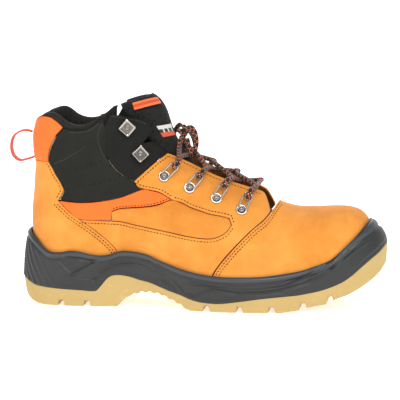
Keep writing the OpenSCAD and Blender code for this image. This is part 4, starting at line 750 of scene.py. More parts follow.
for k in range(3):
    tube(f"laceKnot{k + 1}", knotStrand(k), lace["diameter"] * 0.86, "lace", tips=False, slot="lace",
         stands=["lace_knot"] if k == 0 else ())
for name, points in (("Front", tailFrontRoute), ("Rear", tailRearRoute)):
    route = splined(points, lace["ring"])
    length = float(np.linalg.norm(np.diff(route, axis=0), axis=1).sum())
    ahead = unit(np.array(points[-1], float) - np.array(points[-2], float))
    tip = np.array(points[-1]) + ahead * 0.1 + ahead * np.linspace(0, lace["tipLength"], 24)[:, None]
    aglet = tube("aglet" + name, tip, lace["tipDiameter"], "aglet", weave=0.0, slot="aglet_plastic",
                 stands=["aglet_" + name.lower()])
    tail = tube("laceTail" + name, route, lace["diameter"], "lace", slot="lace", stands=["lace_tail_" + name.lower()])
    print("lace tail", name, round(length, 1), "mm")
print("cords ready")


# ---- panels of the upper ----
def joined(a, b):
    return [list(p) for p in a] + [list(p) for p in b[1:]]


def mirrored(p):
    return [[2 * backT - q[0], q[1]] for q in p]


vampEdgePart = [[163, 19.5], [166, 31.7], [179.4, 49.4], [195.2, 65.7], [205, 74.2], [209.6, 80],
                [205.5, 90], [202, 95]]
counterFoot = [[88, 30.2], [83.2, 46.4], [77.2, 53.6], [69.2, 60.4], [61.2, 66.3], [53, 71.6]]
quarterFoot = [[100, 28.6], [120, 24.9], [140, 22], [163, 19.5]]
quarterOuter = joined(joined(joined(joined([[53, 71.6]], counterFoot[::-1]), quarterFoot), vampEdgePart),
                      joined(throatLine[::-1], facingBackEdge))
quarterInner = [[54.5, 72.1]] + joined([p for p in windowLowEdge if p[0] > 54],
                                       joined(windowTopEdge[::-1], facingLowEdge[::-1]))
insertLow = [[79.2, 77]] + [p for p in windowLowEdge if p[0] > 79]
insertHigh = joined([[79.2, 78.4]] + insertTopEdge, windowTopEdge)
orangeLow = ([[35.2, 86.4], [38.2, 83.4], [44, 77.9], [52.1, 72.3], [78.6, 72], [78.2, 79.4]]
             + [[p[0], p[1] + layers["seamGap"]] for p in insertTopEdge])
orangeHigh = [[35.2, 87.4]] + [p for p in joined(ankleLowEdge, [p for p in facingLowEdge if p[0] > 106]) if p[0] > 35]
ankleLow = [[36.6, 87.5]] + [p for p in ankleLowEdge if 37 < p[0] < 100] + [[104.6, 98.3]]
ankleHigh = ([[36.2, 90.4]] + [[p[0] + 0.9, p[1]] for p in counterTopEdge if p[1] > 90]
             + [[p[0] + 0.9, p[1]] for p in heelTabEdge if 120 < p[1] < 148] + collarSeam
             + [[p[0] - 0.9, p[1]] for p in hookBackEdge if p[1] < 157] + [[99.8, 101.4]])
hookBack = [[77.2, 157.6]] + [p for p in hookBackEdge if p[1] < 155]
hookFront = hookFrontEdge + [p for p in facingBackEdge if p[0] < 120]
counterRun = joined(counterLowEdge, counterTopEdge)


def toeCover(name, rear, dIn, dOut, finish, front=None, vLow=0.0, rows=40, step=2.0, swell=0.0, rounded=False, **more):
    # both halves run from the rear edge to the toe and meet on the ridge
    line = spaced(rear, 1.5)
    v = vLow + (1 - vLow) * np.sin(np.radians(45) * np.arange(rows + 1) / rows) / math.sin(math.radians(45))
    ends = np.interp(v, place(line[:, 0], line[:, 1]), line[:, 0]) + layers["lap"]
    stop = toeX if front is None else front
    reach = stop - ends.min()
    f = np.unique(np.r_[np.array([0, 0.35, 0.9, 1.8]) / reach, np.linspace(3 / reach, 1, max(6, int(reach / step)))])
    t = ends + (stop - ends) * f[:, None]
    if front is None:
        arc = np.linspace(toeX, frontT, int((frontT - toeX) / step))[1:]
        t = np.concatenate([t, np.broadcast_to(arc[:, None], (len(arc), len(v)))])
        t[len(f):, -1] = toeX
    farFromEdge = 9.0
    rim = np.concatenate([np.broadcast_to(f[:, None] * reach, (len(f), len(v))),
                          np.full((len(t) - len(f), len(v)), farFromEdge)])
    drop = roundedEdge(rim) if rounded else 0 * rim

    def half(d, side):
        q = skin(t, np.broadcast_to(v, t.shape), d, side)
        q[:, -1] = (skin(t[:, -1], 1.0, d[:, -1], lateral) + skin(t[:, -1], 1.0, d[:, -1], medial)) / 2
        return q

    grids = []
    for depth in (dOut - drop, np.full(t.shape, dIn)):
        sides = [half(depth, lateral), half(depth, medial)[::-1]]
        grids.append(np.concatenate([sides[0], sides[1][1:] if front is None else sides[1]]))
    if swell:
        bump = unevenness(grids[0], swell, len(name))
        out = unit(grids[0] - grids[1])
        grids[0] = grids[0] + out * bump[..., None]
    rows2, cols = grids[0].shape[:2]
    half = rows2 * cols
    a = quads(rows2, cols)
    if front is not None:  # the two halves are separate grids
        keep = (a[:, 0] // cols) != len(t) - 1
        a = a[keep]
    faces = [a, a[:, ::-1] + half]
    i = np.arange(rows2 - 1)
    if front is not None:
        i = i[i != len(t) - 1]
    faces.append(np.stack([i * cols, (i + 1) * cols, half + (i + 1) * cols, half + i * cols], -1))
    j = np.arange(cols - 1)
    borders = [0, rows2 - 1] + ([len(t) - 1, len(t)] if front is not None else [])
    for r in borders:
        faces.append(np.stack([r * cols + j, r * cols + j + 1, half + r * cols + j + 1, half + r * cols + j], -1))
    points = np.concatenate([g.reshape(-1, 3) for g in grids])
    return build(name, points, np.concatenate(faces), finish, merge=0.03, **more)


def heelWrap(name, end, low, high, dIn, dOut, finish, rows=30, step=2.4, **more):
    n = int((end - backT) / step) * 2
    t = np.linspace(end, 2 * backT - end, n + 1)
    s = np.maximum(t, 2 * backT - t)
    a = np.full(len(s), 0.015) if low == 0 else place(s, low)
    b = place(s, curve(high, s))
    v = a[:, None] + (b - a)[:, None] * np.linspace(0, 1, rows + 1)
    grids = [skin(t[:, None], v, d, medial) for d in (dOut, dIn)]
    return build(name, np.concatenate([g.reshape(-1, 3) for g in grids]), shellFaces(len(t), rows + 1), finish, **more)


toeCover("vamp", vampEdge, layers["panelIn"], layers["panelOut"], "nubuck", swell=0.14, rounded=True, slot="nubuck",
         stands=["vamp"])
for side, where in ((lateral, "lateral"), (medial, "medial")):
    thin, into, end = layers["thinOut"], layers["panelIn"], where.capitalize()
    panel("quarter" + end, quarterOuter, quarterInner, into, thin, side, "nubuck", slot="nubuck",
          stands=["quarter_" + where])
    panel("quarterInsert" + end, insertLow, insertHigh, into, thin + 0.1, side, "nubuckPad", puff=1.2,
                    slot="nubuck", stands=["quarter_insert_" + where])
    panel("orangePanel" + end, orangeLow, orangeHigh, into, thin, side, "orange", swell=0.06, slot="orange_synthetic",
          stands=["orange_panel_" + where])
    panel("anklePanel" + end, ankleLow, ankleHigh, into, thin, side, "ankle", swell=0.16, slot="black_panel",
          stands=["ankle_panel_" + where])
    panel("hookPanel" + end, hookBack, hookFront, into, thin, side, "hookPanel", swell=0.1, slot="black_panel",
          stands=["hook_panel_" + where])
panel("heelCounterCover", mirrored(counterRun), counterRun, layers["panelIn"], layers["thinOut"], medial, "nubuck",
      row=2.2, slot="nubuck", stands=["heel_counter_cover"])


def heelTab():
    n, rows = 56, 30
    f = np.r_[0.004, np.linspace(0.02, 0.98, rows), 0.996]
    (s, size), edge = shares(spaced(heelTabEdge, 1.5)), spaced(heelTabEdge, 1.5)
    e = alongLine(edge, s, f)
    ends, z = e[:, 0] - layers["seamGap"], e[:, 1]
    i = np.linspace(0, 1, n + 1)
    i = np.unique(np.r_[i, 0.008, 0.02, 0.98, 0.992])
    t = ends + (2 * backT - 2 * ends) * i[:, None]
    sides = np.maximum(t, 2 * backT - t)
    lift = (curve(heelTabTop, sides) - curve(heelTabTop, ends)) * f**3
    v = place(sides, z + lift)
    across = np.minimum(i, 1 - i)[:, None] * 2 * (ends - backT)
    rim = np.minimum(across, np.minimum(f, 1 - f) * size)
    outer = skin(t, v, layers["thinOut"] - roundedEdge(rim), medial)
    inner = skin(t, v, layers["panelIn"], medial)
    build("heelTab", np.concatenate([outer.reshape(-1, 3), inner.reshape(-1, 3)]), shellFaces(*t.shape), "orange",
          slot="orange_synthetic", stands=["heel_tab"])


heelTab()

# ---- layers inside the upper ----
flatTop = [[-8, 86], [300, 86]]
foamTop = [[p[0], p[1] - 2] for p in liningTop]
capEdge = [[236, 20.5], [236, 50], [236, 65], [236, 75], [236, 79.5], [236, 95]]
liningEdge = [[205, 17.9], [205, 50], [206, 65], [209, 75], [211.5, 82], [213, 85.5]]
toeCover("toeCap", capEdge, layers["capIn"], layers["coreOut"], "steel", vLow=0.03, slot="steel", stands=["toe_cap"])
toeCover("vampLining", liningEdge, layers["vampLining"][0], layers["vampLining"][1], "lining", rows=30, slot="lining",
         stands=["vamp_lining"])
toeCover("vampBacking", vampEdge, layers["capIn"] + 0.2, layers["coreOut"] - 0.3, "felt", front=231.3, rows=30,
         slot="felt", stands=["vamp_backing"])
heelWrap("heelStiffener", 82, 0, flatTop, layers["foamIn"], layers["coreOut"], "cup", slot="stiffener",
         stands=["heel_stiffener"])
heelWrap("ankleFoam", 104, 88, foamTop, layers["foamIn"], layers["coreOut"], "foam", slot="foam",
                   stands=["ankle_foam"])
heelWrap("quarterLining", 204, 0, liningTop, layers["quarterLining"][0], layers["quarterLining"][1], "lining",
         slot="lining", stands=["quarter_lining"])
print("upper ready")


# ---- padded collar and tongue, swelled by a short cloth simulation ----
collar = {"end": 75, "depth": 14.5, "lift": 1.6, "voxel": 2.6, "pressure": 4.0, "cap": 0.9, "fill": 0.75}
tongue = {"thick": 4.0, "turn": 80, "voxel": 2.8, "pressure": 4.0, "cap": 1.1, "fill": 0.65}


def swelled(piece, voxel, pressure, cap, name):  # puffs a closed pad up, never further than the cap
    mesh = piece.data
    bpy.context.view_layer.objects.active = piece
    piece.select_set(True)
    mesh.remesh_voxel_size = voxel * mm
    bpy.ops.object.voxel_remesh()
    rest = np.array([v.co[:] for v in piece.data.vertices])
    cloth = piece.modifiers.new("swell", "CLOTH")
    cloth.settings.use_pressure = True
    cloth.settings.uniform_pressure_force = pressure
    cloth.settings.effector_weights.gravity = 0
    cloth.settings.quality = 5
    for k in range(1, 21):
        scene.frame_set(k)
    shape = piece.evaluated_get(bpy.context.evaluated_depsgraph_get()).data
    moved = np.array([v.co[:] for v in shape.vertices]) - rest
    piece.modifiers.remove(cloth)
    scene.frame_set(1)
    far = np.linalg.norm(moved, axis=1, keepdims=True)
    moved *= np.minimum(1, cap * mm / np.maximum(far, 1e-9))
    piece.data.vertices.foreach_set("co", (rest + moved).ravel())
    smooth = piece.modifiers.new("smooth", "CORRECTIVE_SMOOTH")
    smooth.factor, smooth.iterations, smooth.smooth_type, smooth.use_only_smooth = 0.5, 4, "SIMPLE", True
    finer = piece.modifiers.new("finer", "SUBSURF")
    finer.levels = finer.render_levels = 1
    made = bpy.data.meshes.new_from_object(piece.evaluated_get(bpy.context.evaluated_depsgraph_get()))
    piece.modifiers.clear()
    made.polygons.foreach_set("use_smooth", [True] * len(made.polygons))
    finish = mesh.materials[0]
    piece.data = made
    made.name = name
    if not made.materials:
        made.materials.append(finish)
    piece.select_set(False)
    return piece


def collarShape():
    t = np.linspace(collar["end"], 2 * backT - collar["end"], 150)
    s = np.maximum(t, 2 * backT - t)
    r = curve(rimTop, s)
    seamLine = heelTabTop[:-1] + collarSeam
    z = np.minimum(np.interp(s, [p[0] for p in seamLine], [p[1] for p in seamLine]) + collar["lift"], r - 2)
    out = layers["panelOut"]
    shape = [(-0.1, r - collar["depth"]), (-0.1, z), (out + 0.2, z), (out + 0.8, (r + z) / 2), (out - 0.4, r - 0.8),
             (-0.4, r), (-2.6, r - 0.3), (-4.8, r - 1.6), (-6.2, r - 4), (-6.4, r - 8), (-6, r - 11),
             (-4.6, r - collar["depth"])]
    loop = np.array([[np.full(len(s), d), h] for d, h in shape])  # point, depth or height, station
    loop = np.concatenate([loop, loop[:1]])
    fine = smoothRow(np.c_[np.arange(13), loop.reshape(13, -1)], np.linspace(0, 12, 49)[:-1])[:, 1:]
    fine = fine.reshape(48, 2, -1)
    depth, height = fine[:, 0].T, fine[:, 1].T
    points = levelSkin(t[:, None], height, depth, medial)
    faces = [list(q) for q in quads(len(t), 48, 0, True)]
    faces += [list(range(47, -1, -1)), list(range((len(t) - 1) * 48, len(t) * 48))]
    return build("collar", points, faces, "collarMesh", slot="black_textile", stands=["collar"])


def tonguePoint(s, u, d):
    def at(s, u):
        q = smoothRow(np.c_[np.arange(len(tongueRows)), tongueRows], s)[..., 1:]
        a, full = np.radians(u * tongue["turn"]), math.radians(tongue["turn"])
        return bent(np.stack([q[..., 0] - q[..., 3] * (1 - np.cos(a)) / (1 - math.cos(full)),
                              q[..., 2] * np.sin(a) / math.sin(full), q[..., 1] - q[..., 4] * u * u], -1))
    s, u = np.broadcast_arrays(np.asarray(s, float), np.asarray(u, float))
    upwards = at(np.minimum(s + 0.3, 10.99), u) - at(np.maximum(s - 0.3, 0), u)
    n = unit(np.cross(at(s, u + 0.05) - at(s, u - 0.05), upwards))
    return at(s, u) + n * np.asarray(d)[..., None]


def tongueLayer(name, s0, s1, u0, u1, dIn, dOut, finish, rows=90, cols=40, rounding=0.0, **more):
    s, u = np.linspace(s0, s1, rows)[:, None], np.linspace(u0, u1, cols)
    rim = np.minimum(np.minimum(s - s0, s1 - s) * 12, np.minimum(u - u0, u1 - u) * 24) + 0 * s
    drop = roundedEdge(rim, rounding) / 0.75 if rounding else 0 * rim
    grids = [tonguePoint(s, u, dOut - drop), tonguePoint(s, u, dIn + drop * 0.6)]
    return build(name, np.concatenate([g.reshape(-1, 3) for g in grids]), shellFaces(rows, cols), finish,
                 body="tongue_flap", **more)


swelled(collarShape(), collar["voxel"], collar["pressure"], collar["cap"], "collar")
pad = tongueLayer("tongue", 0.05, 10.98, -0.98, 0.98, -tongue["thick"] + 0.3, -0.6, "tongueMesh", rounding=1.6,
                  slot="black_textile", stands=["tongue"])
swelled(pad, tongue["voxel"], tongue["pressure"], tongue["cap"], "tongue")
tongueLayer("tongueLining", 0, 11, -0.97, 0.97, -tongue["thick"] - 1.7, -tongue["thick"] - 0.6, "lining", slot="lining",
            stands=["tongue_lining"])
print("collar and tongue ready")


# ---- webbing, label and loops ----
def strap(name, centre, wide, thick, finish, body, cols=9, **more):
    # centre: points along the strap, with a direction across it and one out of its face
    route, across, out = centre
    rows = len(route)
    share = np.linspace(-1, 1, cols)
    bulge = 1 - np.clip((np.abs(share) - 0.72) / 0.28, 0, 1) ** 2 * 0.75
    flat = route[:, None] + across[:, None] * (share * 0.5)[:, None] * wide[:, None, None]
    lift = out[:, None] * (bulge * thick / 2)[:, None]
    outer, inner = flat + lift, flat - lift
    run = np.r_[0, np.cumsum(np.linalg.norm(np.diff(route, axis=0), axis=1))]
    piece = build(name, np.concatenate([outer.reshape(-1, 3), inner.reshape(-1, 3)]), shellFaces(rows, cols), finish,
                  body=body, **more)
    layer = piece.data.uv_layers.new(name="weave")
    for loop in piece.data.loops:
        k = loop.vertex_index % (rows * cols)
        layer.data[loop.index].uv = (run[k // cols], (share[k % cols] + 1) / 2)
    return piece


pull = {"gap": 0.8, "root": 3.0, "wide": 10.0, "thick": 1.6}


def pullLoop():
    line = np.array(loopLine)
    s, _ = shares(line)
    f = np.linspace(0, 1, 120)
    q = smoothRow(np.c_[s, line], f)[:, 1:]
    route = np.stack([q[:, 0] - 55 - pull["gap"], 0 * f, q[:, 1]], -1)
    along = unit(np.gradient(route, axis=0))
    across = np.tile([0.0, 1.0, 0.0], (len(f), 1))
    wide = pull["root"] + (pull["wide"] - pull["root"]) * np.sin(np.pi * f) ** 0.8
    strap("pullLoop", (route, across, np.cross(across, along)), wide, pull["thick"], "pullWeb", "heel_pull",
          slot="webbing", stands=["pull_loop"])


pullLoop()
loop = {"rows": (9.72, 10.43), "across": (-0.8, -0.27), "thick": 1.5}


def tongueLoop():  # a short loop of webbing, sewn on at its two ends and bowed between them
    f = np.linspace(0, 1, 60)
    u = loop["across"][0] + (loop["across"][1] - loop["across"][0]) * f
    s = (loop["rows"][0] + loop["rows"][1]) / 2 - 0.1 * (f - 0.5)
    lift = 0.9 + 1.1 * np.sin(np.pi * f) ** 0.7
    route = tonguePoint(s, u, lift)
    along = unit(np.gradient(route, axis=0))
    up = unit(tonguePoint(s + 0.2, u, lift) - tonguePoint(s - 0.2, u, lift))
    out = unit(np.cross(up, along))
    if ((tonguePoint(s, u, lift + 1) - route) * out).sum() < 0:
        out = -out
    strap("tongueLoop", (route, np.cross(out, along), out), np.full(60, 6.2), loop["thick"], "tongueWeb", "tongue_flap",
          slot="webbing", stands=["tongue_loop"])


tongueLoop()


def labelFinish():  # plain blocks of colour on a small woven label
    f = Finish("labelWoven", Sheen_Weight=0.2)
    u, v, _ = f.parts(f.node("ShaderNodeUVMap", {"uv_map": "weave"}))
    weave = (u * 260).wave() * (v * 260).wave() * 0.5 + 0.5
    dark = v.over(0.36) * (1 - v.over(0.66)) * (1 - (u * 3.4).share().over(0.7))
    colour = f.blend(1 - v.over(0.36), tone(232, 228, 222), tone(236, 88, 44))
    colour = f.blend(dark, colour, tone(24, 24, 24))
    colour = f.blend(weave * 0.2, colour, tone(120, 116, 110))
    return f.finish(colour, 0.7 + weave * 0.15, weave, 0.5, 0.0003)


finishes["label"] = labelFinish()
label = tongueLayer("tongueLabel", 7.25, 8.05, -0.62, -0.2, 0.35, 1.15, "label", rows=24, cols=24, rounding=0.5,
                    slot="label", stands=["tongue_label"])
weave = label.data.uv_layers.new(name="weave")
for corner in label.data.loops:
    k = corner.vertex_index % (24 * 24)
    weave.data[corner.index].uv = ((k % 24) / 23, (k // 24) / 23)
print("webbing ready")


# ---- the sole ----
tread = {"grooveWidth": 5.0, "grooveDepth": 4.5, "slope": 0.7, "channelDepth": 2.6, "channelWidth": 0.055}
cup = {"bondInset": 4.0, "wallGap": 1.0, "bondGap": 0.2, "front": 289, "bondLift": 8.0, "rows": 44, "curve": 1.8}
heelTurns = np.sin(np.linspace(math.pi / 2, 0, 46)[:-1])
toeTurns = np.sin(np.linspace(0, math.pi / 2, 60))
heelReach, toeReach = 40, 60
plainStations = np.r_[heelX - heelReach * heelTurns, np.arange(heelX, toeX, 1.2), toeX + toeReach * toeTurns]


def ground(x):
    return np.interp(x, [p[0] for p in groundLine], [p[1] for p in groundLine])


def soleHalf(x):
    ends = np.where(x < heelX, (heelX - x) / heelReach, np.where(x > toeX, (x - toeX) / toeReach, 0))
    return curve(soleHalfLine, np.clip(x, heelX, toeX)) * np.sqrt(np.maximum(0, 1 - ends**2))


def outlinePoint(x, inset, z, side):
    x, inset, z, side = np.broadcast_arrays(*(np.asarray(a, float) for a in (x, inset, z, side)))
    half = curve(soleHalfLine, np.clip(x, heelX, toeX))
    toeward = np.where(x > toeX, toeX + (x - toeX) * (1 - inset / toeReach), x)
    x2 = np.where(x < heelX, heelX - (heelX - x) * (1 - inset / heelReach), toeward)
    return bent(np.stack([x2, side * soleHalf(x) * (half - inset) / half, z], -1))


def outlineT(x):
    heel = np.arcsin(np.clip((heelX - x) / heelReach, 0, 1))
    toe = np.arcsin(np.clip((x - toeX) / toeReach, 0, 1))
    return np.where(x < heelX, heelX - heelTurn * heel, np.where(x > toeX, toeX + toeTurn * toe, x))


def turnedX(t, heelSize, toeSize):
    return np.where(t < heelX, heelX - heelSize * np.sin((heelX - t) / heelTurn),
                    np.where(t > toeX, toeX + toeSize * np.sin((t - toeX) / toeTurn), t))


def floorAt(t):
    return curve(floorLine, turnedX(t, 26, 40)) - layers["floorGap"]


def bondSpot(x):
    g = ground(x)
    h = np.minimum(g + cup["bondLift"], curve(wrapLine, x) - 0.6)
    return np.where(x > cup["front"] + 4, h, np.minimum(h, np.maximum(curve(floorLine, x) - 0.4 - 2.4, g + 1.6)))


def groove(x):
    reach = tread["grooveWidth"] / 2 + tread["slope"]
    cuts = (np.clip((reach - np.abs(x - g)) / (2 * tread["slope"]), 0, 1) for g in grooveStations)
    return sum(cuts) * tread["grooveDepth"]


def bothSides(f):  # a closed loop: the outer side from heel to toe, then the inner side back
    a, b = f(lateral), f(medial)
    return np.concatenate([a, b[-2:0:-1]])


def loops(rows, bottom=None):  # a solid from closed loops, with strips across its last loop
    count = len(rows[0])
    points = np.concatenate(rows)
    faces = [quads(len(rows), count, 0, True)]
    last, n = (len(rows) - 1) * count, count // 2
    i = np.arange(n)
    faces.append(np.stack([last + i, last + i + 1, last + (count - i - 1) % count, last + (count - i) % count], -1))
    if bottom is None:
        faces.append(np.stack([i, (count - i) % count, (count - i - 1) % count, i + 1], -1))
    else:
        faces.append(quads(bottom.shape[0], bottom.shape[1], len(points))[:, ::-1])
        points = np.concatenate([points, bottom.reshape(-1, 3)])
    return points, np.concatenate(faces)


def outsole():
    edges = [g + s * tread["grooveWidth"] / 2 + k * tread["slope"] for g in grooveStations for s in (-1, 1)
             for k in (-1, 0, 1)]
    x = np.unique(np.round(np.r_[plainStations, edges], 3))
    arch = np.clip((x - 90) / 8, 0, 1) * np.clip((146 - x) / 8, 0, 1)
    base = ground(x) + groove(x) + arch * 0.7 * np.sin(x * 0.92)
    wall = np.maximum(curve(wrapLine, x), base + 2)
    profile = [(2.6, base), (1.9, base + 0.25), (1.2, base + 0.8), (0.8, base + 1.5)]
    profile += [(0.8 * (1 - f) ** 2, base + 1.5 + (wall - base - 1.5) * f) for f in (0.12, 0.3, 0.5, 0.7, 0.85, 0.94)]
    profile += [(0, wall), (0.5, wall + 0.02), (cup["bondInset"], bondSpot(x))]
    rows = [bothSides(lambda s, i=i, z=z: outlinePoint(x, i, z, s)) for i, z in profile]
    u = np.linspace(-1, 1, 61)
    left, right = outlinePoint(x, 2.6, base, lateral), outlinePoint(x, 2.6, base, medial)
    grid = left[:, None] + (right - left)[:, None] * ((u + 1) / 2)[:, None]
    zig = 0.09 * (2 * np.abs((x / 22) % 1 - 0.5) * 2 - 1)
    block = np.where((x > 12) & (x < 84) | (x > 148) & (x < 272), 1.0, 0)
    depth = sum(np.exp(-((u - c - zig[:, None]) / tread["channelWidth"]) ** 2) for c in (-0.42, 0.0, 0.42))
    grid[..., 2] += np.clip(depth, 0, 1) * tread["channelDepth"] * block[:, None] * (np.abs(u) < 0.9)
    points, faces = loops(rows, grid)
    build("outsole", points, faces, "outsole", merge=0.02, sharp=30, slot="outsole", stands=["outsole"])


# lines on the wall of the midsole, as station and height: how far they reach to each side, and how deep they are
reliefLines = [
    ([[45, 26], [69.5, 38.5]], 1.5, 1.1), ([[41.8, 25.7], [72, 21.9], [80, 24]], 1.0, -0.9),
    ([[30, 43], [34.4, 36], [45, 26]], 1.0, 0.7),
    ([[62, 23], [67, 27.6], [72.7, 31.6], [78, 35], [83.3, 37.2], [94, 38.6], [104.6, 37.6], [110, 35.6], [115.3, 33],
      [129, 23.2], [138.7, 16]], 1.4, 1.1),
    ([[64, 21.4], [74.2, 29.6], [84, 34.8], [94, 36], [103.6, 35], [114, 30.4], [127, 21.2], [136, 14.5]], 1.1, -0.9),
    ([[118, 39], [128, 27], [139.6, 16]], 1.0, -1.3), ([[111, 37.6], [124, 27.5], [134, 18.5]], 1.0, -0.6),
    ([[145, 13.6], [149, 12.7], [158, 16.8], [165.7, 19.2], [185.8, 16.2], [203, 16.8], [219.3, 18.5], [241.7, 24.5],
      [258.4, 32.6], [266, 41], [269, 47]], 1.1, -1.2),
    ([[146, 24.4], [165, 22.6], [186, 21.6], [205, 22.4], [222, 24.2], [242, 31], [256, 39], [266, 47.6]], 1.3, -1.1),
    ([[147, 21], [165.7, 21.2], [186, 18.8], [205, 19.6], [221, 21.4], [242, 27.6], [258, 36],
      [267.6, 44.4]], 1.2, 0.8),
    ([[276, 52], [284, 58.5], [290, 62]], 1.1, -0.8), ([[272, 42.5], [282, 51], [291, 56.6]], 1.1, 0.7)]
recess = {"corners": [[29, 43.4], [69.5, 39.6], [45.6, 27], [35, 36.4]], "depth": 1.0}
recessDots = [[39.4, 40.2], [48.2, 42], [52.6, 37], [45, 32.6]]


def lineDistance(x, z, line):
    best = np.full(x.shape, 1e9)
    for (x0, z0), (x1, z1) in zip(line, line[1:]):
        w = (x1 - x0) ** 2 + (z1 - z0) ** 2
        f = np.clip(((x - x0) * (x1 - x0) + (z - z0) * (z1 - z0)) / w, 0, 1)
        best = np.minimum(best, np.hypot(x - x0 - f * (x1 - x0), z - z0 - f * (z1 - z0)))
    return best


def relief(x, z, t, under, above):  # how far the wall stands out: beads, ridges and grooves
    out = np.zeros(x.shape)
    for line, reach, deep in reliefLines:
        d = lineDistance(x, z, line) / reach
        out += deep * np.where(deep > 0, np.clip(1 - d, 0, 1), np.exp(-d * d))
    corners = recess["corners"]
    inside = np.full(x.shape, 1e9)
    for (x0, z0), (x1, z1) in zip(corners, corners[1:] + corners[:1]):
        inside = np.minimum(inside, ((z0 - z) * (x1 - x0) - (x0 - x) * (z1 - z0)) / math.hypot(x1 - x0, z1 - z0))
    out -= recess["depth"] * np.clip(inside / 0.8, 0, 1)
    for dx, dz in recessDots:
        out += 1.0 * np.exp(-(((x - dx) ** 2 + (z - dz) ** 2) / 1.6))
    slant = t + (z - 62) / 1.85
    ridge = np.clip(1 - np.abs((slant + 40) % 5.2 - 2.6) / 1.5, 0, 1)
    out += 1.0 * ridge * np.clip((36 - t) / 5, 0, 1) * np.clip((11 - slant) / 2, 0, 1) * np.clip((above - 5) / 2, 0, 1)
    out += 0.55 * np.exp(-(((above - 2.4) / 1.5) ** 2)) - 0.7 * np.exp(-(((above - 5.4) / 0.8) ** 2))
    out += 0.35 * np.exp(-(((under - 1.6) / 1.2) ** 2))
    toe = np.clip((x - 270) / 5, 0, 1) * np.clip((above - 6) / 2, 0, 1) * np.clip((under - 3) / 2, 0, 1)
    return (out + 0.5 * toe) * np.clip(under / 0.6, 0, 1)


def midsole():
    x = plainStations
    t = outlineT(x)
    top = curve(rimLine, turnedX(t, rimEnds["heel"], rimEnds["toe"]))
    low = curve(wrapLine, x) + cup["bondGap"]
    f = np.linspace(0, 1, cup["rows"])[:, None]

    def wall(side):
        p, q = outlinePoint(x, 0, low, side), levelSkin(t, top, layers["rimOut"], side)
        g = f**cup["curve"]
        grid = p + (q - p) * np.stack([g + 0 * x, g + 0 * x, f + 0 * x], -1)
        n = unit(np.cross(np.gradient(grid, axis=1), np.gradient(grid, axis=0))) * side * -1
        z = grid[..., 2]
        out = relief(grid[..., 0] + 55, z, t + 0 * z, z - low, top - z)
        soft = np.clip((top - z) / 1.4, 0, 1)
        return grid + n * (out - 0.9 * (1 - np.sqrt(1 - (1 - soft) ** 2)))[..., None]

    left, right = wall(lateral), wall(medial)
    rows = [bothSides(lambda s: outlinePoint(x, cup["bondInset"] + cup["wallGap"], bondSpot(x) + cup["bondGap"], s)),
            bothSides(lambda s: outlinePoint(x, cup["wallGap"], low, s))]
    rows += [np.concatenate([left[k], right[k][-2:0:-1]]) for k in range(cup["rows"])]
    floor = floorAt(t)
    inner = [(layers["rimOut"] - 1.0, top + 0.35), (layers["cupIn"] + 0.4, top + 0.3), (layers["cupIn"], top - 0.1)]
    inner += [(layers["cupIn"], floor + (top - floor) * k) for k in (0.9, 0.7, 0.45, 0.2)]
    inner.append((layers["cupIn"] - 1, floor))
    rows += [bothSides(lambda s, d=d, z=z: levelSkin(t, z, d, s)) for d, z in inner]
    points, faces = loops(rows)
    # the bead field marks where the painted highlight goes: a band about 2 mm under the top edge
    bead = np.zeros(len(points))
    count = len(rows[0])
    for k in range(cup["rows"]):
        ring = slice((k + 2) * count, (k + 3) * count)
        above = np.concatenate([(top - left[k][:, 2]), (top - right[k][:, 2])[-2:0:-1]])
        bead[ring] = np.exp(-(((above - 2.2) / 1.7) ** 2))
    build("midsole", points, faces, "midsole", sharp=50, slot="midsole", stands=["midsole"], fields={"bead": bead})


outsole()
midsole()


def floorLayer(name, low, high, d, finish, slot, crown=0.0):  # fills the floor between two heights
    x = np.r_[0, plainStations[(plainStations > 2) & (plainStations < 302)], 305]
    t = outlineT(x)
    z = floorAt(t)
    profile = [(d, low), (d, high - 0.8), (d - 0.3, high - 0.3), (d - 1.0, high)]
    rows = [bothSides(lambda s, a=a, b=b: levelSkin(t, z + b, a, s)) for a, b in profile]
    left, right = levelSkin(t, z + high, d - 1.0, lateral), levelSkin(t, z + high, d - 1.0, medial)
    u = np.linspace(-1, 1, 33)
    grid = left[:, None] + (right - left)[:, None] * ((u + 1) / 2)[:, None]
    grid[..., 2] += crown * np.abs(u) ** 3 - crown
    points, faces = loops(rows[::-1], grid)
    return build(name, points, faces, finish, merge=0.02, slot=slot,
                 stands=["insole_board" if slot == "board" else slot])


floorLayer("insoleBoard", 0.5, 2.5, layers["boardEdge"], "board", "board")
floorLayer("footbed", 2.9, 7.9, layers["boardEdge"] - 0.4, "footbedTop", "footbed", 0.0)
print("sole ready")


# ---- rings, hooks and rivets ----
def lathe(profile, sides=40):  # a turned shape from radius and height, closed at its poles
    a = np.arange(sides) / sides * 2 * math.pi
    points, faces = [], []
    for r, z in profile:
        points += [(r * math.cos(k), r * math.sin(k), z) for k in a]
    faces = [list(q) for q in quads(len(profile), sides, 0, True)]
    last = (len(profile) - 1) * sides
    return np.array(points), faces + [list(range(sides - 1, -1, -1)), list(range(last, last + sides))]


def wire(route, diameter, sides=14):  # a round bar along a route
    _, a, b = carriedFrames(route)
    angle = np.arange(sides) / sides * 2 * math.pi
    ring2 = a[:, None] * np.cos(angle)[:, None] + b[:, None] * np.sin(angle)[:, None]
    points = route[:, None] + ring2 * diameter / 2
    faces = [list(q) for q in quads(len(route), sides, 0, True)]
    last = (len(route) - 1) * sides
    return points.reshape(-1, 3), faces + [list(range(sides - 1, -1, -1)), list(range(last, last + sides))]


def gather(parts):  # several shapes in one mesh
    points, faces, n = [], [], 0
    for p, f in parts:
        points.append(np.asarray(p))
        faces += [[k + n for k in face] for face in f]
        n += len(p)
    return np.concatenate(points), faces


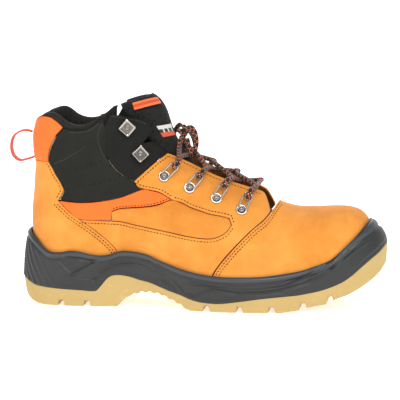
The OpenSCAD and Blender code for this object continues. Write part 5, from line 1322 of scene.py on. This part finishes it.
def set_(place, shape):  # put a shape that was drawn in a local frame on the skin
    p, x, y, z = place
    points, faces = shape
    return p + points[:, :1] * x + points[:, 1:2] * y + points[:, 2:] * z, faces


rivet = {"head": 5.0}


def ringShape():
    r = ring["base"] / 2
    rim = lathe([(1.3, 0), (r - 0.3, 0), (r, 0.25), (r, 0.95), (r - 0.25, 1.25), (r - 0.7, 1.35), (r - 1.15, 1.2),
                 (r - 1.4, 0.85), (r - 1.7, 0.72), (1.3, 0.66)])
    lift = math.radians(ring["lift"])
    w, reach = ring["width"] / 2, ring["reach"]
    a = np.linspace(-math.pi / 2, math.pi / 2, 30)
    arm = np.array([[1.0, -w], [4.0, -w], [8.0, -w]])
    flat = np.concatenate([arm, np.stack([reach + w * np.cos(a), w * np.sin(a)], -1), arm[::-1] * [1, -1]])
    line = splined(np.c_[flat, np.zeros(len(flat))], 0.6)
    bentUp = np.stack([line[:, 0] * math.cos(lift), line[:, 1], line[:, 0] * math.sin(lift) + ring["armZ"]], -1)
    return gather([rim, wire(bentUp, ring["wire"])])


def rivetShape(high):
    h = rivet["head"] / 2
    return lathe([(0.01, 0.05), (ring["pin"] / 2, 0.05), (ring["pin"] / 2, high + 0.1), (h, high + 0.1),
                  (h + 0.05, high + 0.35),
                  (h - 0.1, high + 0.7), (h - 0.5, high + 0.95), (h * 0.6, high + 1.0), (h * 0.45, high + 0.75),
                  (h * 0.2, high + 0.68), (0.01, high + 0.66)])


hook = {"side": 11.0, "wall": 1.7, "high": 4.6, "base": 1.2, "mouth": 2.3}


def squareLoop(half, corner, n=10):
    out = []
    for k in range(4):
        cx, cy = ((1, 1), (-1, 1), (-1, -1), (1, -1))[k]
        for a in np.linspace(0, math.pi / 2, n):
            b = a + k * math.pi / 2
            out.append((cx * (half - corner) + corner * math.cos(b), cy * (half - corner) + corner * math.sin(b)))
    return np.array(out)


def hookShape():  # a square frame round a sunk floor, open towards the lace
    half = hook["side"] / 2
    rows = [(half - 0.5, 0.6, 0), (half, 0.9, 0.4), (half, 0.9, -1.0), (half - 0.35, 0.8, -0.25), (half - 0.8, 0.8, 0),
            (half - hook["wall"] + 0.1, 0.7, -0.5), (half - hook["wall"], 0.6, -1.2),
            (half - hook["wall"] - 0.2, 0.6, None)]
    points = []
    for size, corner, z in rows:
        line = squareLoop(size, corner)
        mouth = np.clip((line[:, 0] - 2.6) / 1.2, 0, 1) * np.clip((3.1 - np.abs(line[:, 1])) / 0.8, 0, 1)
        top = hook["high"] - (hook["high"] - hook["mouth"] - 0.4) * mouth
        if z is None:  # the sunk floor
            level = np.full(len(line), hook["base"])
        elif z > 0 or (z == 0 and not points):  # the foot on the panel
            level = np.full(len(line), z)
        else:  # the rim, lower at the mouth
            level = np.maximum(top + z, hook["base"] + 0.1)
        points.append(np.c_[line, level])
    n = len(points[0])
    faces = [list(q) for q in quads(len(points), n, 0, True)]
    last = (len(points) - 1) * n
    return np.concatenate(points), faces + [list(range(n - 1, -1, -1)), list(range(last, last + n))]


for side, where in ((lateral, "lateral"), (medial, "medial")):
    end = where.capitalize()
    seats = [frameAt(a, b, layers["thinOut"] + ring["seat"], side) for a, b in zip(ringPlaces, ringEnds)]
    hooks = [frameAt(a, b, layers["thinOut"] + ring["seat"] + 0.2, side) for a, b in zip(hookPlaces, hookEnds)]
    for name, spots, shape, finish, node in (
            ("dRings", seats, ringShape(), "nickel", "d_rings_"),
            ("dRingRivets", seats, rivetShape(0.9), "rivet", "d_ring_rivets_"),
            ("laceHooks", hooks, hookShape(), "nickel", "lace_hooks_"),
            ("hookRivets", hooks, rivetShape(1.2), "rivet", "hook_rivets_")):
        points, faces = gather([set_(p, shape) for p in spots])
        build(name + end, points, faces, finish, merge=0.005, sharp=35, slot="nickel", stands=[node + where])
print("hardware ready")


# ---- stitches, and dark discs of painted shade for needle holes and perforations, repeated by Geometry Nodes ----
def repeatTree():  # one small rounded shape on every point, turned by the point's own directions
    tree = bpy.data.node_groups.new("repeatOnPoints", "GeometryNodeTree")
    face = tree.interface
    face.new_socket("Geometry", in_out="INPUT", socket_type="NodeSocketGeometry")
    for name, value in (("Length", 2.0), ("Width", 0.6), ("Height", 0.5), ("Jitter", 0.0)):
        face.new_socket(name, in_out="INPUT", socket_type="NodeSocketFloat").default_value = value
    face.new_socket("Seed", in_out="INPUT", socket_type="NodeSocketInt").default_value = 7
    face.new_socket("Finish", in_out="INPUT", socket_type="NodeSocketMaterial")
    face.new_socket("Geometry", in_out="OUTPUT", socket_type="NodeSocketGeometry")

    def node(kind, settings=None, values=None):
        made = tree.nodes.new(kind)
        for key, value in (settings or {}).items():
            setattr(made, key, value)
        for key, value in (values or {}).items():
            if isinstance(value, bpy.types.NodeSocket):
                tree.links.new(value, made.inputs[key])
            else:
                made.inputs[key].default_value = value
        return made

    start = node("NodeGroupInput")
    bead = node("GeometryNodeMeshUVSphere", None, {"Segments": 10, "Rings": 6, "Radius": 0.5})
    size = node("ShaderNodeCombineXYZ", None, {0: start.outputs["Length"], 1: start.outputs["Width"],
                                               2: start.outputs["Height"]})
    shaped = node("GeometryNodeTransform", None, {"Geometry": bead.outputs["Mesh"], "Scale": size.outputs[0]})
    out = node("GeometryNodeInputNamedAttribute", {"data_type": "FLOAT_VECTOR"}, {"Name": "outward"})
    ahead = node("GeometryNodeInputNamedAttribute", {"data_type": "FLOAT_VECTOR"}, {"Name": "forward"})
    up = node("FunctionNodeAlignRotationToVector", {"axis": "Z"}, {"Vector": out.outputs["Attribute"]})
    turned = node("FunctionNodeAlignRotationToVector", {"axis": "X", "pivot_axis": "Z"},
                  {"Rotation": up.outputs[0], "Vector": ahead.outputs["Attribute"]})
    low = node("ShaderNodeMath", {"operation": "SUBTRACT"}, {0: 1.0, 1: start.outputs["Jitter"]})
    high = node("ShaderNodeMath", {"operation": "ADD"}, {0: 1.0, 1: start.outputs["Jitter"]})
    vary = node("FunctionNodeRandomValue", {"data_type": "FLOAT"}, {"Seed": start.outputs["Seed"]})
    tree.links.new(low.outputs[0], vary.inputs[2])
    tree.links.new(high.outputs[0], vary.inputs[3])
    placed = node("GeometryNodeInstanceOnPoints", None,
                  {"Points": start.outputs["Geometry"], "Instance": shaped.outputs[0],
                   "Rotation": turned.outputs[0], "Scale": vary.outputs[1]})
    real = node("GeometryNodeRealizeInstances", None, {"Geometry": placed.outputs[0]})
    smooth = node("GeometryNodeSetShadeSmooth", None, {"Geometry": real.outputs[0]})
    coated = node("GeometryNodeSetMaterial", None, {"Geometry": smooth.outputs[0], "Material": start.outputs["Finish"]})
    end = node("NodeGroupOutput")
    tree.links.new(coated.outputs[0], end.inputs[0])
    return tree


repeat = repeatTree()


def repeated(name, spots, sizes, finish, body="boot", jitter=0.0):
    points, outward, forward = (np.concatenate([s[k] for s in spots]) for k in range(3))
    mesh = bpy.data.meshes.new(name + "Points")
    mesh.from_pydata((points * mm).tolist(), [], [])
    for key, values in (("outward", outward), ("forward", forward)):
        mesh.attributes.new(key, "FLOAT_VECTOR", "POINT").data.foreach_set("vector", values.astype(np.float32).ravel())
    holder = bpy.data.objects.new(name + "Points", mesh)
    scene.collection.objects.link(holder)
    modifier = holder.modifiers.new("repeat", "NODES")
    modifier.node_group = repeat
    keys = {i.name: i.identifier for i in repeat.interface.items_tree if i.in_out == "INPUT"}
    for key, value in (("Length", sizes[0] * mm), ("Width", sizes[1] * mm), ("Height", sizes[2] * mm),
                       ("Jitter", jitter), ("Seed", len(name)), ("Finish", finishes[finish])):
        modifier[keys[key]] = value
    made = bpy.data.meshes.new_from_object(holder.evaluated_get(bpy.context.evaluated_depsgraph_get()))
    made.name = name
    bpy.data.objects.remove(holder)
    piece = bpy.data.objects.new(name, made)
    scene.collection.objects.link(piece)
    print(name, len(points), "places,", len(made.polygons), "faces")
    return settle(piece, body)


def beside(line, inset):  # the line moved to its left by the inset, in the panel's own flat
    p = spaced(line, 1.0)
    d = unit(np.gradient(p, axis=0))
    return p + np.stack([-d[:, 1], d[:, 0]], -1) * inset


def spotsOn(line, pitch, depth, side, offset=0.0):  # places a pitch apart along a line on the skin
    on = onSkin(line, depth, side)
    f, size = shares(on)
    at = (np.arange(int(size / pitch)) + 0.5 + offset) * pitch / size
    tz = alongLine(line, f, at[at < 1])
    here = onSkin(tz, depth, side)
    t = np.where(tz[:, 0] < backT, 2 * backT - tz[:, 0], tz[:, 0])
    n = halfNormal(t, place(t, tz[:, 1])) * np.array([1, side, 1])
    n[:, 1] *= np.where(tz[:, 0] < backT, -1, 1)
    return here, n, unit(np.gradient(here, axis=0))


seam = {"pitch": 2.7, "length": 1.5, "width": 0.6, "height": 0.45, "hole": 1.2}
skinTop = layers["thinOut"] + 0.02
tanRows = [  # edge, how far in, and how high the panel's face is
    (vampEdge, -2.4, layers["panelOut"] + 0.02), (vampEdge, -4.6, layers["panelOut"] + 0.02),
    (counterLowEdge, 2.2, skinTop), (counterLowEdge, 4.4, skinTop), (counterTopEdge, 2.2, skinTop),
    (windowLowEdge, -2.4, skinTop), (windowTopEdge, 2.4, skinTop), (facingLowEdge, 2.4, skinTop),
    (facingBackEdge, 2.4, skinTop),
    (insertTopEdge, 1.8, skinTop)]
throatRow = beside(throatLine, -2.6)
spots, holes = [], []
for side in (lateral, medial):
    for edge, inset, depth in tanRows:
        row = beside(edge, inset)
        row = row[(row[:, 0] > -5) & (row[:, 1] > 12)]
        spots.append(spotsOn(row, seam["pitch"], depth, side))
        holes.append(spotsOn(row, seam["pitch"], depth, side, 0.5))
    spots.append(spotsOn(throatRow, seam["pitch"], skinTop, side))
    holes.append(spotsOn(throatRow, seam["pitch"], skinTop, side, 0.5))
repeated("stitchesTan", spots, (seam["length"], seam["width"], seam["height"]), "thread", jitter=0.06)
# painted shade: a dark brown disc between each pair of stitches stands for the shaded needle hole
repeated("needleHoles", holes, (seam["hole"], seam["hole"] * 0.85, 0.3), "hole", jitter=0.12)

perforationRows = [
    [[47.8, 112.9], [56, 116], [66, 119.6], [80.2, 126.6]],
    [[50, 99.6], [60, 101.2], [69, 103], [81.3, 106.6], [95.9, 112.5]],
    [[83.6, 118], [93.6, 119]], [[78, 141.8], [83, 137.3], [89.7, 134]]]
# painted shade: the perforations are near-black discs on the panel, not holes
dots = [spotsOn(spaced(row, 1.0), 4.4, skinTop, side) for side in (lateral, medial) for row in perforationRows]
repeated("perforations", dots, (1.3, 1.3, 0.3), "holeShadeBlack", jitter=0.1)

greySeams = [[[30, 117.8], [37.8, 121.2], [46.7, 126.4], [53.4, 130.4], [59, 134.5]],
             [[p[0] - 2.2, p[1]] for p in hookBackEdge[2:7]], [[p[0], p[1] - 1.6] for p in hookFrontEdge[:5]],
             [[p[0], p[1] - 2.2] for p in collarSeam[1:-1]]]
greys = [spotsOn(spaced(row, 1.0), 2.3, skinTop, side) for side in (lateral, medial) for row in greySeams]
repeated("stitchesGrey", greys, (2.1, 0.5, 0.35), "greyThread")
print("stitching ready")


# ---- frame parts that are kept, the floor, and the end ----
keptParts = {"shank": "steel", "toe_cap_edge_strip": "strip"}
for node, finish in keptParts.items():
    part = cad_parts[node]
    part.data.materials.clear()
    part.data.materials.append(finishes[finish])


def makeFloor():
    f = Finish("studioFloor", Roughness=0.9, Specular_IOR_Level=0.1, Emission_Color=(1, 1, 1, 1),
               Emission_Strength=studio["floorGlow"])
    grain = f.noise(3, 2)
    floor = f.finish(f.blend(grain * 0.1, studio["floorTone"], (0.9, 0.9, 0.9, 1)))
    mesh = bpy.data.meshes.new("studioFloor")
    front, bend, height, half = -3.0, 1.2, 3.5, 4
    depth = [(front, 0), (bend, 0)]
    depth += [(bend + bend * math.sin(a), bend - bend * math.cos(a)) for a in np.linspace(0, 1.57, 16)]
    depth.append((2 * bend, height))
    points = [(x, y, z + studio["floorZ"]) for y, z in depth for x in (-half, half)]
    mesh.from_pydata(points, [], [list(map(int, q)) for q in quads(len(depth), 2)])
    mesh.polygons.foreach_set("use_smooth", [True] * len(mesh.polygons))
    mesh.materials.append(floor)
    piece = bpy.data.objects.new("studioFloor", mesh)
    scene.collection.objects.link(piece)


makeFloor()
